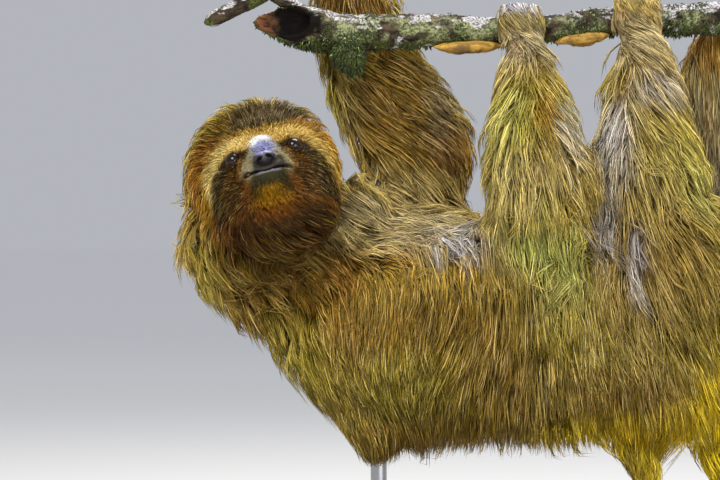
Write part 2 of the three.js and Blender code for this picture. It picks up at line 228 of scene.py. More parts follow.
# Patches of colour, painted one after another, on both flanks (True) or on one side (False). Each: where it
# lies, how far it reaches each way, its colour and its strength.
PATCHES = [
    (True, [
        # trunk
        ((30, -80, 215), (120, 90, 40), "gold", 0.55),
        ((60, -85, 190), (75, 60, 26), "chestnut", 0.35),
        ((20, -80, 150), (60, 60, 34), "olive", 0.70),
        ((-22, -80, 192), (38, 70, 34), "chestnut", 0.40),
        ((95, -85, 150), (36, 60, 30), "chestnut", 0.45),
        ((60, -80, 118), (110, 70, 16), "gold", 0.55),
        ((-60, -50, 175), (50, 60, 26), "olive", 0.60),
        ((-108, -30, 232), (20, 50, 34), "olive", 0.85),
        ((-70, -60, 238), (44, 60, 26), "umber", 0.70),
        ((-86, -50, 204), (28, 60, 26), "chestnut", 0.55),
        ((-30, -70, 222), (34, 50, 20), "chestnut", 0.45),
        # painted light: the straw, tan and cream rows here brighten the shade the head casts on the neck's
        # right side; the rust row is the coat's own colour
        ((2, -60, 260), (36, 60, 22), "straw", 0.95),
        ((12, -60, 246), (40, 50, 12), "rust", 0.28),
        ((-6, -40, 276), (30, 50, 20), "tan", 0.60),
        ((8, -60, 260), (22, 50, 15), "cream", 0.90),
        ((-62, -60, 240), (44, 60, 24), "chestnut", 0.35),
        ((-18, -60, 236), (20, 60, 16), "rust", 0.40),
        ((-28, -70, 212), (22, 50, 16), "gold", 0.50),
    ]),
    (False, [
        # painted shade under the chin, on the front only
        ((-24, -108, 254), (22, 32, 20), "umber", 0.90),
    ]),
    (True, [
        ((100, -70, 246), (16, 60, 24), "straw", 0.50),
        ((40, -50, 266), (52, 60, 20), "tan", 0.80),
        # painted highlight: silver_sheen where light catches the shoulder
        ((70, -60, 252), (25, 60, 15), "silver_sheen", 0.85),
        ((-44, -60, 256), (22, 60, 20), "umber", 0.85),
        ((140, -80, 235), (34, 40, 40), "moss", 0.55),
        ((150, -85, 190), (36, 40, 30), "olive", 0.55),
        ((165, -90, 180), (9, 40, 34), "straw", 0.25),
        ((200, -85, 190), (32, 60, 44), "straw", 0.15),
        ((190, -85, 140), (46, 60, 26), "chestnut", 0.50),
        # painted backlight: the amber rows make the rump and tail glow gold
        ((235, -60, 112), (90, 90, 26), "amber", 0.98),
        ((180, -60, 112), (66, 90, 14), "amber", 0.85),
        ((262, -60, 140), (24, 90, 40), "amber", 0.80),
        ((290, -60, 170), (40, 80, 50), "amber", 0.60),
        ((215, -60, 78), (24, 60, 26), "amber", 0.85),
    ]),
    (False, [
        # painted backlight: amber on the tail
        ((262, 0, 90), (50, 60, 40), "amber", 0.85),
        # near arm
        ((118, -35, 400), (34, 40, 26), "tan", 0.90),
        # painted sheen: silver_sheen rows along the near arm's lit top and right edge
        ((116, -10, 432), (26, 60, 14), "silver_sheen", 0.85),
        ((124, -55, 345), (40, 50, 30), "olive", 0.85),
        ((105, -60, 320), (22, 50, 60), "moss", 0.45),
        ((150, -60, 320), (13, 50, 46), "silver_sheen", 0.36),
        ((134, -65, 345), (12, 50, 20), "rust", 0.40),
        ((128, -70, 290), (36, 50, 30), "olive", 0.65),
        ((126, -70, 250), (32, 60, 24), "moss", 0.75),
        ((122, -65, 296), (38, 60, 30), "straw", 0.75),
        ((122, -75, 205), (12, 40, 16), "straw", 0.45),
        # near leg
        ((204, -35, 400), (40, 40, 30), "tan", 0.76),
        ((202, -10, 440), (30, 60, 12), "straw", 0.80),
        # painted sheen: silver_sheen rows down the near leg's left edge
        ((184, -55, 318), (16, 60, 42), "silver_sheen", 0.84),
        ((176, -55, 268), (10, 60, 36), "silver_sheen", 0.75),
        ((215, -70, 365), (26, 50, 16), "silver_sheen", 0.40),
        ((222, -70, 318), (26, 50, 34), "olive", 0.80),
        ((205, -70, 300), (40, 60, 60), "straw", 0.30),
        ((238, -70, 290), (16, 50, 34), "moss", 0.45),
        ((188, -75, 258), (9, 50, 34), "umber", 0.85),
        ((196, -80, 240), (9, 50, 30), "silver_sheen", 0.55),
        ((236, -70, 248), (34, 60, 26), "chestnut", 0.40),
        # far arm
        ((22, 30, 350), (58, 34, 60), "gold", 0.55),
        ((22, 30, 360), (48, 34, 44), "chestnut", 0.55),
        ((-26, 30, 345), (14, 40, 70), "olive", 0.85),
        ((-8, 30, 345), (14, 40, 40), "straw", 0.30),
        ((62, 30, 350), (16, 40, 44), "tan", 0.75),
        ((40, 30, 292), (44, 40, 20), "straw", 0.75),
        ((70, 40, 318), (20, 40, 20), "rust", 0.40),
        ((-6, 40, 440), (40, 40, 30), "chestnut", 0.80),
        # far leg
        ((272, 40, 400), (44, 40, 24), "rust", 0.60),
        ((268, 40, 345), (44, 50, 44), "tan", 0.85),
        ((262, 40, 345), (30, 50, 30), "straw", 0.40),
        # painted sheen on the far leg
        ((262, 40, 280), (40, 50, 34), "silver_sheen", 0.30),
    ]),
]

# Bands of the face, as paths aside and upward of the head's centre; both sides are alike.
EYE_STRIPE = [(13, 5.5), (21.75, 4.8), (29, 3.6), (35, -2), (39, -10), (41, -20), (40, -27)]
STRIPE_AT, STRIPE_HALF = [13, 21, 30, 41], [2.8, 6.2, 5.4, 4.6]
BROW_BAND = [(7, 17), (14, 16.5), (24, 17.5), (33, 14.5), (39.5, 7), (43.0, -2), (44.5, -10)]
CHEEK_BAND = [(19, -8), (25, -11), (29, -17), (30, -23)]
TEAR_BAND = [(16.5, 1.5), (18.5, -4), (19.5, -9)]
MOUTH_MIDDLE, MOUTH_HALF, MOUTH_RISE, MOUTH_SLOPE, MOUTH_LEVEL = 0.5, 18.0, 2.9, 0.015, -15.7


def mouth_height(aside):
    away = aside - MOUTH_MIDDLE
    return MOUTH_LEVEL + MOUTH_RISE * (away / MOUTH_HALF) ** 2 + MOUTH_SLOPE * away


def paint(colour, other, share):
    other = tint(other) if isinstance(other, str) else other
    share = np.clip(share, 0, 1)[:, None]
    return colour * (1 - share) + np.asarray(other)[None, :] * share


def face_markings(colour, local, palette, wobble):
    """The head's own bands, painted over colour one after another."""
    names = ("rust", "umber", "gold", "olive", "chestnut", "cream", "earth")
    rust, umber, gold, olive, chestnut, cream, earth = (palette[name] for name in names)
    aside, up, ahead = local.T
    flat = np.stack([np.abs(aside - 0.3), up], axis=1)
    front, snout = smoothstep(-30, -8, ahead), smoothstep(26, 33, ahead)
    throat, above_mouth = smoothstep(6, 16, ahead), up - mouth_height(aside)
    sides = smoothstep(30, 48, np.abs(aside))
    crown = smoothstep(20, 29, up + 3.5 * wobble - 0.010 * aside ** 2 + 2.5 * np.exp(-((aside / 9) ** 2)))
    brow = path_distance(flat, BROW_BAND)
    band = smoothstep(9.0, 3.5, (brow + 1.2 * wobble) * np.interp(up, [-14, 2], [2.6, 1.0])) * front
    band *= 0.45 + 0.55 * smoothstep(4, 14, flat[:, 0])
    half = np.interp(flat[:, 0], STRIPE_AT, STRIPE_HALF)
    stripe = smoothstep(half + 2.4, half - 1.2, path_distance(flat, EYE_STRIPE) + 0.9 * wobble)
    muzzle = smoothstep(19.5, 15.0, oval(local, 0.5, -8.0, 1.08, 0.95)) * snout
    bridge = smoothstep(12.5, 8.0, oval(local, 0.8, 3.0, 1, 1.15)) * smoothstep(24, 30, ahead)
    # top: where a painted white highlight lies on the bridge; lilac_sheen: where painted lilac sheen lies
    # below it
    top = smoothstep(10.0, 4.5, oval(local, -0.3, 10.0, 1, 0.95)) * smoothstep(22, 28, ahead)
    lilac_sheen = smoothstep(7.5, 3.5, oval(local, 1.6, 2.4, 1.2, 1)) * snout
    chin = smoothstep(14.0, 9.5, oval(local, 0.5, -23, 1.25, 0.8)) * smoothstep(20, 28, ahead)
    beard = smoothstep(14.0, 5.0, oval(local, -1, -37, 1.7, 0.8)) * throat
    fringe = smoothstep(13.0, 4.0, np.hypot((aside + 1) / 1.6, (up + 31 + 4 * wobble) / 0.5)) * throat
    lip = smoothstep(1.3, 0.5, np.abs(above_mouth + 1.6)) * smoothstep(12, 6, np.abs(aside - 1.5))
    line = smoothstep(1.35, 0.6, np.abs(above_mouth)) * smoothstep(18.5, 17, np.abs(aside - MOUTH_MIDDLE))
    layers = [
        # the whole head, its sides, crown, back and low ruff
        (rust * 0.55 + umber * 0.2, 0.85 * front),
        (gold, 0.5 * front * sides * smoothstep(-0.6, 0.5, wobble)),
        (rust * 0.8, 0.55 * smoothstep(40, 52, np.abs(aside) + 3 * wobble) * smoothstep(36, 22, up)),
        (olive, 0.8 * smoothstep(-48, -60, aside + 4 * wobble) * smoothstep(-2, -20, up)),
        ("4e3b1e", 0.9 * (1 - front) * smoothstep(-8, 14, up + 4 * wobble)),
        ("34270f", crown),
        (gold, 0.35 * crown * smoothstep(-12, -24, aside)),
        (chestnut * 0.85, 0.85 * (smoothstep(-14, -24, up + 3 * wobble) * front)),
        ("3c1d05", 0.88 * smoothstep(-30, -44, up + 4 * wobble)),
        # brows, cheeks and eye stripes
        (gold * 0.85, 0.7 * smoothstep(14.5, 8.0, brow + 1.5 * wobble) * front),
        (cream, band * np.where(aside < 0, 0.9, 0.5)),
        (gold, band * np.where(aside < 0, 0.08, 0.3)),
        ("3e2206", smoothstep(10.5, 5.0, path_distance(flat, CHEEK_BAND) + wobble) * 0.92 * front),
        (earth, 0.95 * stripe * front),
        ("9a7038", 0.75 * smoothstep(4.0, 1.5, path_distance(flat, TEAR_BAND)) * front),
        # muzzle: grey-green sides, dark round the nose, a pale grey bridge that is partly painted sheen,
        # with painted lilac sheen and a painted white highlight on it, greenish chin, yellow below
        ("9a9070", muzzle),
        ("2b2725", muzzle * 0.94 * smoothstep(-3, -8, up) * smoothstep(14.5, 9.5, np.abs(aside - 2.5))),
        ("9c9ba6", 0.95 * bridge),
        ("f0f4f8", 0.95 * top),
        ("8c8fc6", 0.85 * lilac_sheen),
        ("33301a", 0.94 * chin * smoothstep(0.5, 1.5, -above_mouth)),
        (rust * 0.8, 0.6 * beard),
        ("c48e08", 0.75 * fringe),
        ("77747c", 0.8 * lip * snout),
        ("0b0706", 0.97 * line * snout),
    ]
    for other, share in layers:
        colour = paint(colour, other, share)
    return colour


def head_away(local):
    """Distance from the middle of the head, with the muzzle drawn in."""
    ahead = local[:, 2] + 6
    return np.hypot(np.hypot(local[:, 0], local[:, 1]), np.where(ahead > 0, ahead / 1.35, ahead))


def head_share(points):
    """1 on the head, fading to 0 past the ruff."""
    return smoothstep(HEAD_EDGE, 54, head_away(to_face(points)))


def markings(points):
    """The coat's colour at points in the body's millimetres."""
    palette = {name: coat_colour(name) for name in CoatColours.__annotations__}
    wobble = 0.6 * rough_field(points, 17.0, 1) + 0.4 * rough_field(points, 6.0, 2)
    broad = rough_field(points, 42.0, 3)
    mirrored = points.copy()
    mirrored[:, 1] = -np.abs(mirrored[:, 1])
    ground = np.tile(palette["gold"] * 0.62 + palette["tan"] * 0.25, (len(points), 1))
    colour = paint(ground, palette["olive"], 0.35 + 0.3 * broad)
    for both, patches in PATCHES:
        for centre, reach, name, strength in patches:
            away = ((mirrored if both else points) - np.array(centre)) / np.array(reach)
            close = np.exp(-1.1 * np.sum(away * away, axis=1)) * (1 + 0.45 * wobble)
            colour = paint(colour, palette[name], strength * smoothstep(0.12, 0.85, close))
    local = to_face(points)
    face = face_markings(colour, local, palette, wobble)
    return colour + (face - colour) * smoothstep(HEAD_EDGE, 56, head_away(local))[:, None]


# ---- lie of the coat

# Where the hair runs its own way: place, reach, direction and strength. Rows for both flanks are mirrored.
LIE = [
    ((1, -1), [
        # neck and chest
        ((-66, -60, 236), 26, (1.0, 0.0, -0.05), 2.6),
        ((-92, -50, 246), 20, (0.7, -0.2, -0.9), 2.2),
        ((-112, -20, 240), 26, (0.15, 0.0, -1.0), 2.2),
        ((-40, -60, 222), 28, (1.0, 0.0, -0.35), 2.2),
        ((-14, -60, 262), 34, (1.0, -0.2, -0.12), 2.6),
        ((30, -60, 262), 36, (1.0, -0.2, -0.18), 2.8),
        ((72, -60, 252), 30, (1.0, -0.2, -0.55), 2.2),
        # flank
        ((-98, -20, 208), 26, (0.80, 0.0, -0.85), 3.4),
        ((-62, -40, 180), 32, (0.80, 0.0, -0.80), 3.2),
        ((-30, -40, 145), 30, (0.62, 0.0, -1.0), 2.6),
        ((2, -50, 124), 28, (0.45, 0.0, -1.0), 3.4),
        ((-20, -70, 178), 30, (0.40, 0.0, -1.0), 1.6),
        ((20, -85, 190), 32, (-0.12, 0.0, -1.0), 1.6),
        ((62, -85, 195), 34, (-0.50, 0.0, -1.0), 1.8),
        ((80, -85, 150), 34, (-0.20, 0.0, -1.0), 1.4),
        ((130, -85, 180), 36, (0.10, 0.0, -1.0), 1.4),
        ((185, -85, 180), 36, (0.35, 0.0, -1.0), 1.4),
        ((235, -80, 160), 40, (0.65, 0.0, -1.0), 1.6),
        ((290, -60, 150), 50, (0.75, 0.0, -1.0), 1.4),
        ((200, -60, 108), 40, (0.50, 0.0, -1.0), 1.2),
    ]),
    ((1,), [
        # near arm
        ((108, -28, 405), 18, (0.55, -0.3, -0.55), 2.4),
        ((130, -28, 402), 18, (0.75, 0.1, -0.75), 2.4),
        ((106, -60, 340), 26, (0.12, 0.0, -1.0), 1.6),
        ((144, -60, 330), 28, (0.50, 0.0, -1.0), 1.8),
        ((130, -72, 270), 36, (0.38, 0.0, -1.0), 1.6),
        # near leg
        ((196, -30, 405), 20, (0.80, -0.2, -0.45), 2.6),
        ((222, -36, 385), 22, (0.75, 0.2, -0.75), 2.4),
        ((183, -55, 330), 18, (-0.05, 0.0, -1.0), 2.4),
        ((215, -65, 335), 28, (0.75, 0.0, -0.85), 2.2),
        ((238, -65, 300), 30, (0.60, 0.0, -0.95), 1.8),
        ((190, -75, 262), 24, (0.55, 0.0, -1.0), 2.0),
        ((235, -75, 245), 36, (0.80, 0.0, -0.75), 1.8),
        # far arm
        ((-26, 20, 355), 22, (0.22, 0.0, -1.0), 4.5),
        ((14, 24, 385), 30, (1.0, 0.0, -0.52), 4.0),
        ((16, 20, 350), 36, (1.0, 0.0, -0.48), 4.5),
        ((52, 24, 345), 32, (1.0, 0.0, -0.62), 4.0),
        ((24, 20, 318), 26, (1.0, 0.0, -0.60), 3.5),
        ((60, 24, 305), 24, (0.75, 0.0, -1.0), 3.0),
        ((36, 20, 290), 20, (0.45, 0.0, -1.0), 2.2),
        # far leg and tail
        ((275, 30, 350), 50, (0.12, 0.0, -1.0), 1.2),
        ((268, 6, 100), 40, (0.20, 0.0, -1.0), 2.0),
    ]),
]


def lie(points, normals, on_head):
    """The way the hair runs at points on the skin, along the surface."""
    run = np.tile(DOWN, (len(points), 1))
    top = smoothstep(0.45, 0.95, normals[:, 2])
    run[:, 1] += np.where(points[:, 1] > 0, 1.4, -1.4) * top * (1 - on_head)
    for flanks, rows in LIE:
        for centre, reach, way, strength in rows:
            for flank in flanks:
                mirror = np.array([1.0, flank, 1.0])
                away = points - mirror * centre
                pull = strength * np.exp(-np.sum(away * away, axis=1) / reach ** 2) * (1 - on_head)
                run += unit(mirror * way) * pull[:, None]
    local = to_face(points)
    fan = unit(local - NOSE_ON_FACE)
    fan = fan[:, 0:1] * ASIDE + fan[:, 1:2] * UPWARD + fan[:, 2:3] * FORWARD
    side = smoothstep(26, 48, np.abs(local[:, 0])) * smoothstep(26, 0, local[:, 1])
    throat = smoothstep(-26, -42, local[:, 1])
    behind = smoothstep(2, -24, local[:, 2])
    fan = unit(fan) * (1 - 0.85 * behind)[:, None] + DOWN * (0.15 + 1.3 * np.maximum(side, behind))[:, None]
    fan += np.array([1.1, 0.0, 0.0]) * (throat * (1 - behind))[:, None]
    run = run * (1 - on_head)[:, None] + 1.4 * fan * on_head[:, None]
    run -= normals * np.sum(run * normals, axis=1, keepdims=True)
    return unit(run)


# ---- shader maths


class Wire:
    """A value in a material: arithmetic on it adds Math nodes."""

    def __init__(self, brush, socket):
        self.brush, self.socket = brush, socket

    def maths(self, operation, *values):
        return self.brush.node("ShaderNodeMath", {"operation": operation}, dict(enumerate(values)))

    def __add__(self, other):
        return self.maths("ADD", self, other)

    def __rsub__(self, other):
        return self.maths("SUBTRACT", other, self)

    def __mul__(self, other):
        return self.maths("MULTIPLY", self, other)

    __radd__, __rmul__ = __add__, __mul__

    def over(self, low, high):
        """Rises smoothly from 0 at low to 1 at high."""
        inputs = {"Value": self, "From Min": low, "From Max": high}
        return self.brush.node("ShaderNodeMapRange", {"interpolation_type": "SMOOTHSTEP"}, inputs)


def as_colour(value):
    """A colour for a node, from web digits or three numbers; a wire stays a wire."""
    if isinstance(value, Wire):
        return value
    return (*(tint(value) if isinstance(value, str) else value), 1)


class Brush:
    """Adds nodes to one material."""

    def __init__(self, name):
        self.material = bpy.data.materials.new(name)
        self.material.use_nodes = True
        self.tree = self.material.node_tree
        self.shader = self.tree.nodes["Principled BSDF"]

    def feed(self, socket, value):
        if isinstance(value, Wire):
            self.tree.links.new(value.socket, socket)
        else:
            socket.default_value = value

    def node(self, kind, settings, inputs, output=0):
        made = self.tree.nodes.new(kind)
        for key, value in settings.items():
            setattr(made, key, value)
        for key, value in inputs.items():
            self.feed(made.inputs[key], value)
        return Wire(self, made.outputs[output])

    def place(self, stretch=(1, 1, 1)):
        """Object coordinates, in metres, stretched."""
        at = self.node("ShaderNodeTexCoord", {}, {}, "Object")
        return self.node("ShaderNodeMapping", {}, {"Vector": at, "Scale": stretch})

    def noise(self, scale, detail=4.0, stretch=(1, 1, 1), distortion=0.0):
        return self.node("ShaderNodeTexNoise", {}, {
            "Vector": self.place(stretch), "Scale": scale, "Detail": detail, "Distortion": distortion,
            "Roughness": 0.55})

    def cells(self, scale):
        return self.node("ShaderNodeTexVoronoi", {}, {"Vector": self.place(), "Scale": scale})

    def attribute(self, name, output="Fac"):
        return self.node("ShaderNodeAttribute", {"attribute_name": name}, {}, output)

    def mix(self, share, a, b, kind="MIX"):
        inputs = {0: share, 6: as_colour(a), 7: as_colour(b)}
        return self.node("ShaderNodeMix", {"data_type": "RGBA", "blend_type": kind}, inputs, 2)

    def times(self, a, b, share=1.0):
        """Colour a, multiplied by colour b."""
        return self.mix(share, a, b, "MULTIPLY")

    def bump(self, height, strength, distance):
        inputs = {"Height": height, "Strength": strength, "Distance": distance}
        return self.node("ShaderNodeBump", {}, inputs)

    def finish(self, **sockets):
        """Sets the shader's sockets: Base_Color=... and so on."""
        for key, value in sockets.items():
            self.feed(self.shader.inputs[key.replace("_", " ")], value)
        return self.material


def coat_material():
    """Hair: dark at the root, frosted at the tip, each lock a little lighter or darker than the next."""
    brush = Brush("hair")
    along, tone = brush.attribute("along"), brush.attribute("tone")
    mark = brush.attribute("marking", "Color")
    light = tone * 1.15 + 0.40
    shade = brush.node("ShaderNodeCombineColor", {}, {0: light, 1: light, 2: light * 0.94})
    colour = brush.times(mark, shade)
    pale = brush.mix(0.45, brush.times(mark, (2.2, 2.1, 1.8)), "f0dc9a")
    colour = brush.mix(tone.over(0.70, 0.94) * 0.60, colour, pale)
    deep = brush.mix(0.55, brush.times(mark, (0.28, 0.20, 0.10)), "1c0f04")
    colour = brush.mix((1 - along.over(0.0, 0.42)) * 0.76, colour, deep)
    colour = brush.mix(along.over(0.55, 1.0) * 0.12, colour, pale)
    return brush.finish(Base_Color=colour, Roughness=0.5, Specular_IOR_Level=0.11)


def skin_material():
    """Skin and the flat undercoat on it: the coat's own markings, darker under the long hair."""
    brush = Brush("skin_and_undercoat")
    bare, colour = brush.attribute("bare"), brush.attribute("marking", "Color")
    streak = brush.noise(850, 4.0, (1, 1, 0.16), 0.3)
    dark, light = brush.times(colour, (0.22, 0.16, 0.10)), brush.times(colour, (0.85, 0.80, 0.70))
    under = brush.mix(streak.over(0.40, 0.62), dark, light)
    pores = brush.cells(1500)
    colour = brush.mix(bare, under, brush.times(colour, "5c4a40", pores.over(0.0, 0.6) * 0.25))
    height = streak * (1 - bare) * 0.6 + pores * bare * 0.12
    return brush.finish(
        Base_Color=colour, Roughness=0.85 - bare * 0.20, Specular_IOR_Level=0.12,
        Normal=brush.bump(height, 0.55, 0.0012))


# ---- mesh helpers


def deselect():
    if bpy.context.object and bpy.context.object.mode != "OBJECT":
        bpy.ops.object.mode_set(mode="OBJECT")
    bpy.ops.object.select_all(action="DESELECT")


def pick(*objects):
    deselect()
    for one in objects:
        one.select_set(True)
    bpy.context.view_layer.objects.active = objects[0]


@contextmanager
def editing(piece, kind="VERT", action="SELECT"):
    """Edit mode on a piece, with all or none of it selected, or as it was."""
    pick(piece)
    bpy.ops.object.mode_set(mode="EDIT")
    bpy.ops.mesh.select_mode(type=kind)
    if action:
        bpy.ops.mesh.select_all(action=action)
    yield
    bpy.ops.object.mode_set(mode="OBJECT")


def new_piece(name, mesh):
    piece = bpy.data.objects.new(name, mesh)
    bpy.context.scene.collection.objects.link(piece)
    return piece


def copy_node(name, label):
    """A merged copy of a CAD node's mesh, as a new piece."""
    mesh = frame["nodes"][name].data.copy()
    mesh.materials.clear()
    piece = new_piece(label, mesh)
    mesh.name = label
    with editing(piece):
        bpy.ops.mesh.remove_doubles(threshold=1e-6)
    return piece


def join(pieces):
    pick(*pieces)
    bpy.ops.object.join()
    return pieces[0]


def modify(piece, kind, **settings):
    """Adds a modifier to piece and applies it."""
    pick(piece)
    modifier = piece.modifiers.new(kind.lower(), kind)
    for key, value in settings.items():
        setattr(modifier, key, value)
    bpy.ops.object.modifier_apply(modifier=modifier.name)


def shade_smooth(piece):
    piece.data.polygons.foreach_set("use_smooth", np.ones(len(piece.data.polygons), bool))


def read(items, name, width=3, kind=np.float32):
    """One property of a mesh's points, edges or faces, as rows of numbers."""
    values = np.empty(len(items) * width, kind)
    items.foreach_get(name, values)
    return values.reshape(-1, width)


def get_points(mesh):
    return read(mesh.vertices, "co").astype(float)


def set_points(mesh, points):
    mesh.vertices.foreach_set("co", np.asarray(points, np.float32).ravel())
    mesh.update()


def get_normals(mesh):
    return read(mesh.vertex_normals, "vector").astype(float)


def get_edges(mesh):
    return read(mesh.edges, "vertices", 2, np.int32)


def spread(values, edges, rounds, share=0.5):
    """Evens values out over a mesh, each point moving towards the mean of its neighbours."""
    count = len(values)
    valence = np.maximum(np.bincount(edges.ravel(), minlength=count), 1)
    columns = values.reshape(count, -1).copy()
    a, b = edges.T
    for _ in range(rounds):
        for c in range(columns.shape[1]):
            column = columns[:, c]
            total = np.bincount(a, column[b], count) + np.bincount(b, column[a], count)
            columns[:, c] = column + share * (total / valence - column)
    return columns.reshape(values.shape)


def steady_smooth(mesh, rounds):
    """Smooths a mesh's shape without shrinking it: each round draws it in, then out a little further."""
    points, edges = get_points(mesh), get_edges(mesh)
    for _ in range(rounds):
        points = spread(points, edges, 1, 0.5)
        points = spread(points, edges, 1, -0.52)
    set_points(mesh, points)


def rebuild(piece, size, rounds):
    """Makes one even, closed mesh of a piece, and smooths it."""
    modify(piece, "REMESH", mode="VOXEL", voxel_size=size, adaptivity=0.0, use_smooth_shade=True)
    steady_smooth(piece.data, rounds)


def triangles(mesh):
    mesh.calc_loop_triangles()
    return read(mesh.loop_triangles, "vertices", 3, np.int32)


def tree_of(mesh):
    points, tris = get_points(mesh), triangles(mesh)
    return BVHTree.FromPolygons(points.tolist(), tris.tolist(), all_triangles=True), points, tris


def across(corners):
    """The cross product of each triangle's sides: its direction, and twice its area as length."""
    return np.cross(corners[:, 1] - corners[:, 0], corners[:, 2] - corners[:, 0])


def set_attribute(mesh, name, values, kind="FLOAT"):
    attribute = mesh.attributes.get(name) or mesh.attributes.new(name, kind, "POINT")
    if kind == "FLOAT_COLOR":
        values = np.concatenate([values, np.ones((len(values), 1))], axis=1)
        attribute.data.foreach_set("color", values.astype(np.float32).ravel())
    else:
        attribute.data.foreach_set("value", values.astype(np.float32))


def set_all(piece, **values):
    """Gives a piece the same attribute values all over."""
    for name, value in values.items():
        set_attribute(piece.data, name, np.full(len(piece.data.vertices), value))


def get_attribute(mesh, name):
    return read(mesh.attributes[name].data, "value", 1)[:, 0].astype(float)


def cover(piece, material, slot, *nodes):
    """Gives a piece its material and body, and hides the CAD nodes it stands for; slot is not used."""
    piece.data.materials.clear()
    piece.data.materials.append(material)
    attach(piece, ROOT)
    if nodes:
        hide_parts(*nodes)


# ---- skin

# The long lock that hangs from the fore end of the belly.
LOW_LOCK, LOCK_REACH = np.array([8.0, -20.0, 112.0]), 34
# Each eye and the tilt of its opening; half the opening's width and height, and how far it is raised.
EYES = {"eye_left": -0.18, "eye_right": 0.18}
EYE_OPENING, EYE_RAISE = np.array([5.5, 3.8]), 0.8
# How much higher the eyeballs lie than in the CAD, in millimetres.
EYES_HIGHER = 1.1
# How far the lids stand out from the eyeball, and how far the skin between them lies inside it.
LID, LID_TUCK = 0.7, 1.4
# How much each flesh node grows before they are joined, in metres.
JOIN_OVERLAP = 0.0005
# The thickness taken where a ray through the body meets nothing, and where it starts, in metres.
OPEN_THICKNESS, RAY_START = 0.2, 0.0008


def subdivide_where(piece, chosen):
    """Splits the faces whose centres chosen picks, each edge once."""
    mesh = piece.data
    picked = chosen(to_face(to_body(read(mesh.polygons, "center"))))
    mesh.vertices.foreach_set("select", np.zeros(len(mesh.vertices), bool))
    mesh.edges.foreach_set("select", np.zeros(len(mesh.edges), bool))
    mesh.polygons.foreach_set("select", picked)
    with editing(piece, "FACE", None):
        bpy.ops.mesh.subdivide(number_cuts=1, smoothness=0.0)


def muzzle_reach(local):
    """Distance from the middle of the bare muzzle, which is taller than it is wide."""
    return oval(local, 0.5, -6.5, 1.02, 1.12)


def lip_reach(local):
    """Distance from the middle of the bare skin round the nose and lips."""
    return oval(local, 0.5, -12.5, 1.15, 0.85)


def face_reach(local):
    return np.hypot(local[:, 0], (local[:, 1] + 3) * 0.95)


def coat_depth(points, thickness, settings):
    """How deep the coat lies at points of its outer shape, in millimetres."""
    depth = np.clip(settings.depth_share * thickness, 2.0 * MM, settings.depth_most) / MM
    local = to_face(points)
    face = settings.depth_face / MM
    shallow = face + (4.8 - face) * smoothstep(27, 47, face_reach(local))
    shallow += 2.5 * smoothstep(10, -30, local[:, 2])
    shallow += 4.0 * smoothstep(-15, -45, local[:, 1])
    on_head = np.linalg.norm(local / [1.1, 1.1, 1.1], axis=1) < 62
    return np.where(on_head, np.minimum(depth, shallow), depth)


def hump(value, middle, width):
    """1 at the middle, falling off to either side."""
    return np.exp(-((value - middle) / width) ** 2)


def sculpt_face(points, eyes):
    """Raises the lids round the eyeballs, cuts the mouth and shapes the lips, in the body's millimetres."""
    local = to_face(points)
    for centre, radius, turn in eyes:
        middle = to_face(centre[None])[0]
        away = local - middle
        distance = np.linalg.norm(away, axis=1)
        close = (distance < radius + 8) & (away[:, 2] > -radius * 0.5)
        c, s = math.cos(turn), math.sin(turn)
        wide = (away[:, 0] * c + away[:, 1] * s) / EYE_OPENING[0]
        tall = (-away[:, 0] * s + away[:, 1] * c - EYE_RAISE) / EYE_OPENING[1]
        opening = np.hypot(wide, tall)
        raised = LID_TUCK + LID + 0.5 * hump(opening, 1.25, 0.22)
        rim = radius - LID_TUCK + raised * smoothstep(0.94, 1.08, opening)
        wanted = np.where(opening < 1.08, rim, np.maximum(distance, rim))
        local = np.where(close[:, None], middle + unit(away) * wanted[:, None], local)
    aside = np.abs(local[:, 0] - MOUTH_MIDDLE)
    front = smoothstep(26, 34, local[:, 2]) * smoothstep(MOUTH_HALF + 1.5, MOUTH_HALF - 2.5, aside)
    gap = local[:, 1] - mouth_height(local[:, 0])
    # the cut between the lips, the upper lip, the lower lip and the crease under it
    local[:, 2] += front * (-2.0 * hump(gap, 0, 0.75) + 0.9 * hump(gap, 2.6, 1.5)
                            + 0.5 * hump(gap, -2.6, 1.4) - 0.9 * hump(gap, -6.5, 2.0))
    wide, tall = (local[:, 0] - 0.6) / 8.5, (local[:, 1] + 11.6) / 2.4
    local[:, 2] += 1.6 * front * np.exp(-wide ** 2 - tall ** 2)
    return from_face(local)


def eye_balls():
    """Each eye's centre and radius in the body's millimetres, and the tilt of its opening."""
    balls = []
    for name, turn in EYES.items():
        low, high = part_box(name)
        centre = to_body(np.array((low + high) / 2)) + EYES_HIGHER * UPWARD
        balls.append((centre, (high.x - low.x) / 2 / MM, turn))
    return balls


def body_thickness(mesh):
    """How far it is through the body from each point of its mesh, in metres."""
    tree, points, _ = tree_of(mesh)
    thickness = np.full(len(points), OPEN_THICKNESS)
    for i, (point, normal) in enumerate(zip(points, get_normals(mesh))):
        inward = Vector(-normal)
        hit = tree.ray_cast(Vector(point) + inward * RAY_START, inward)
        if hit[0] is not None:
            thickness[i] = hit[3]
    return thickness


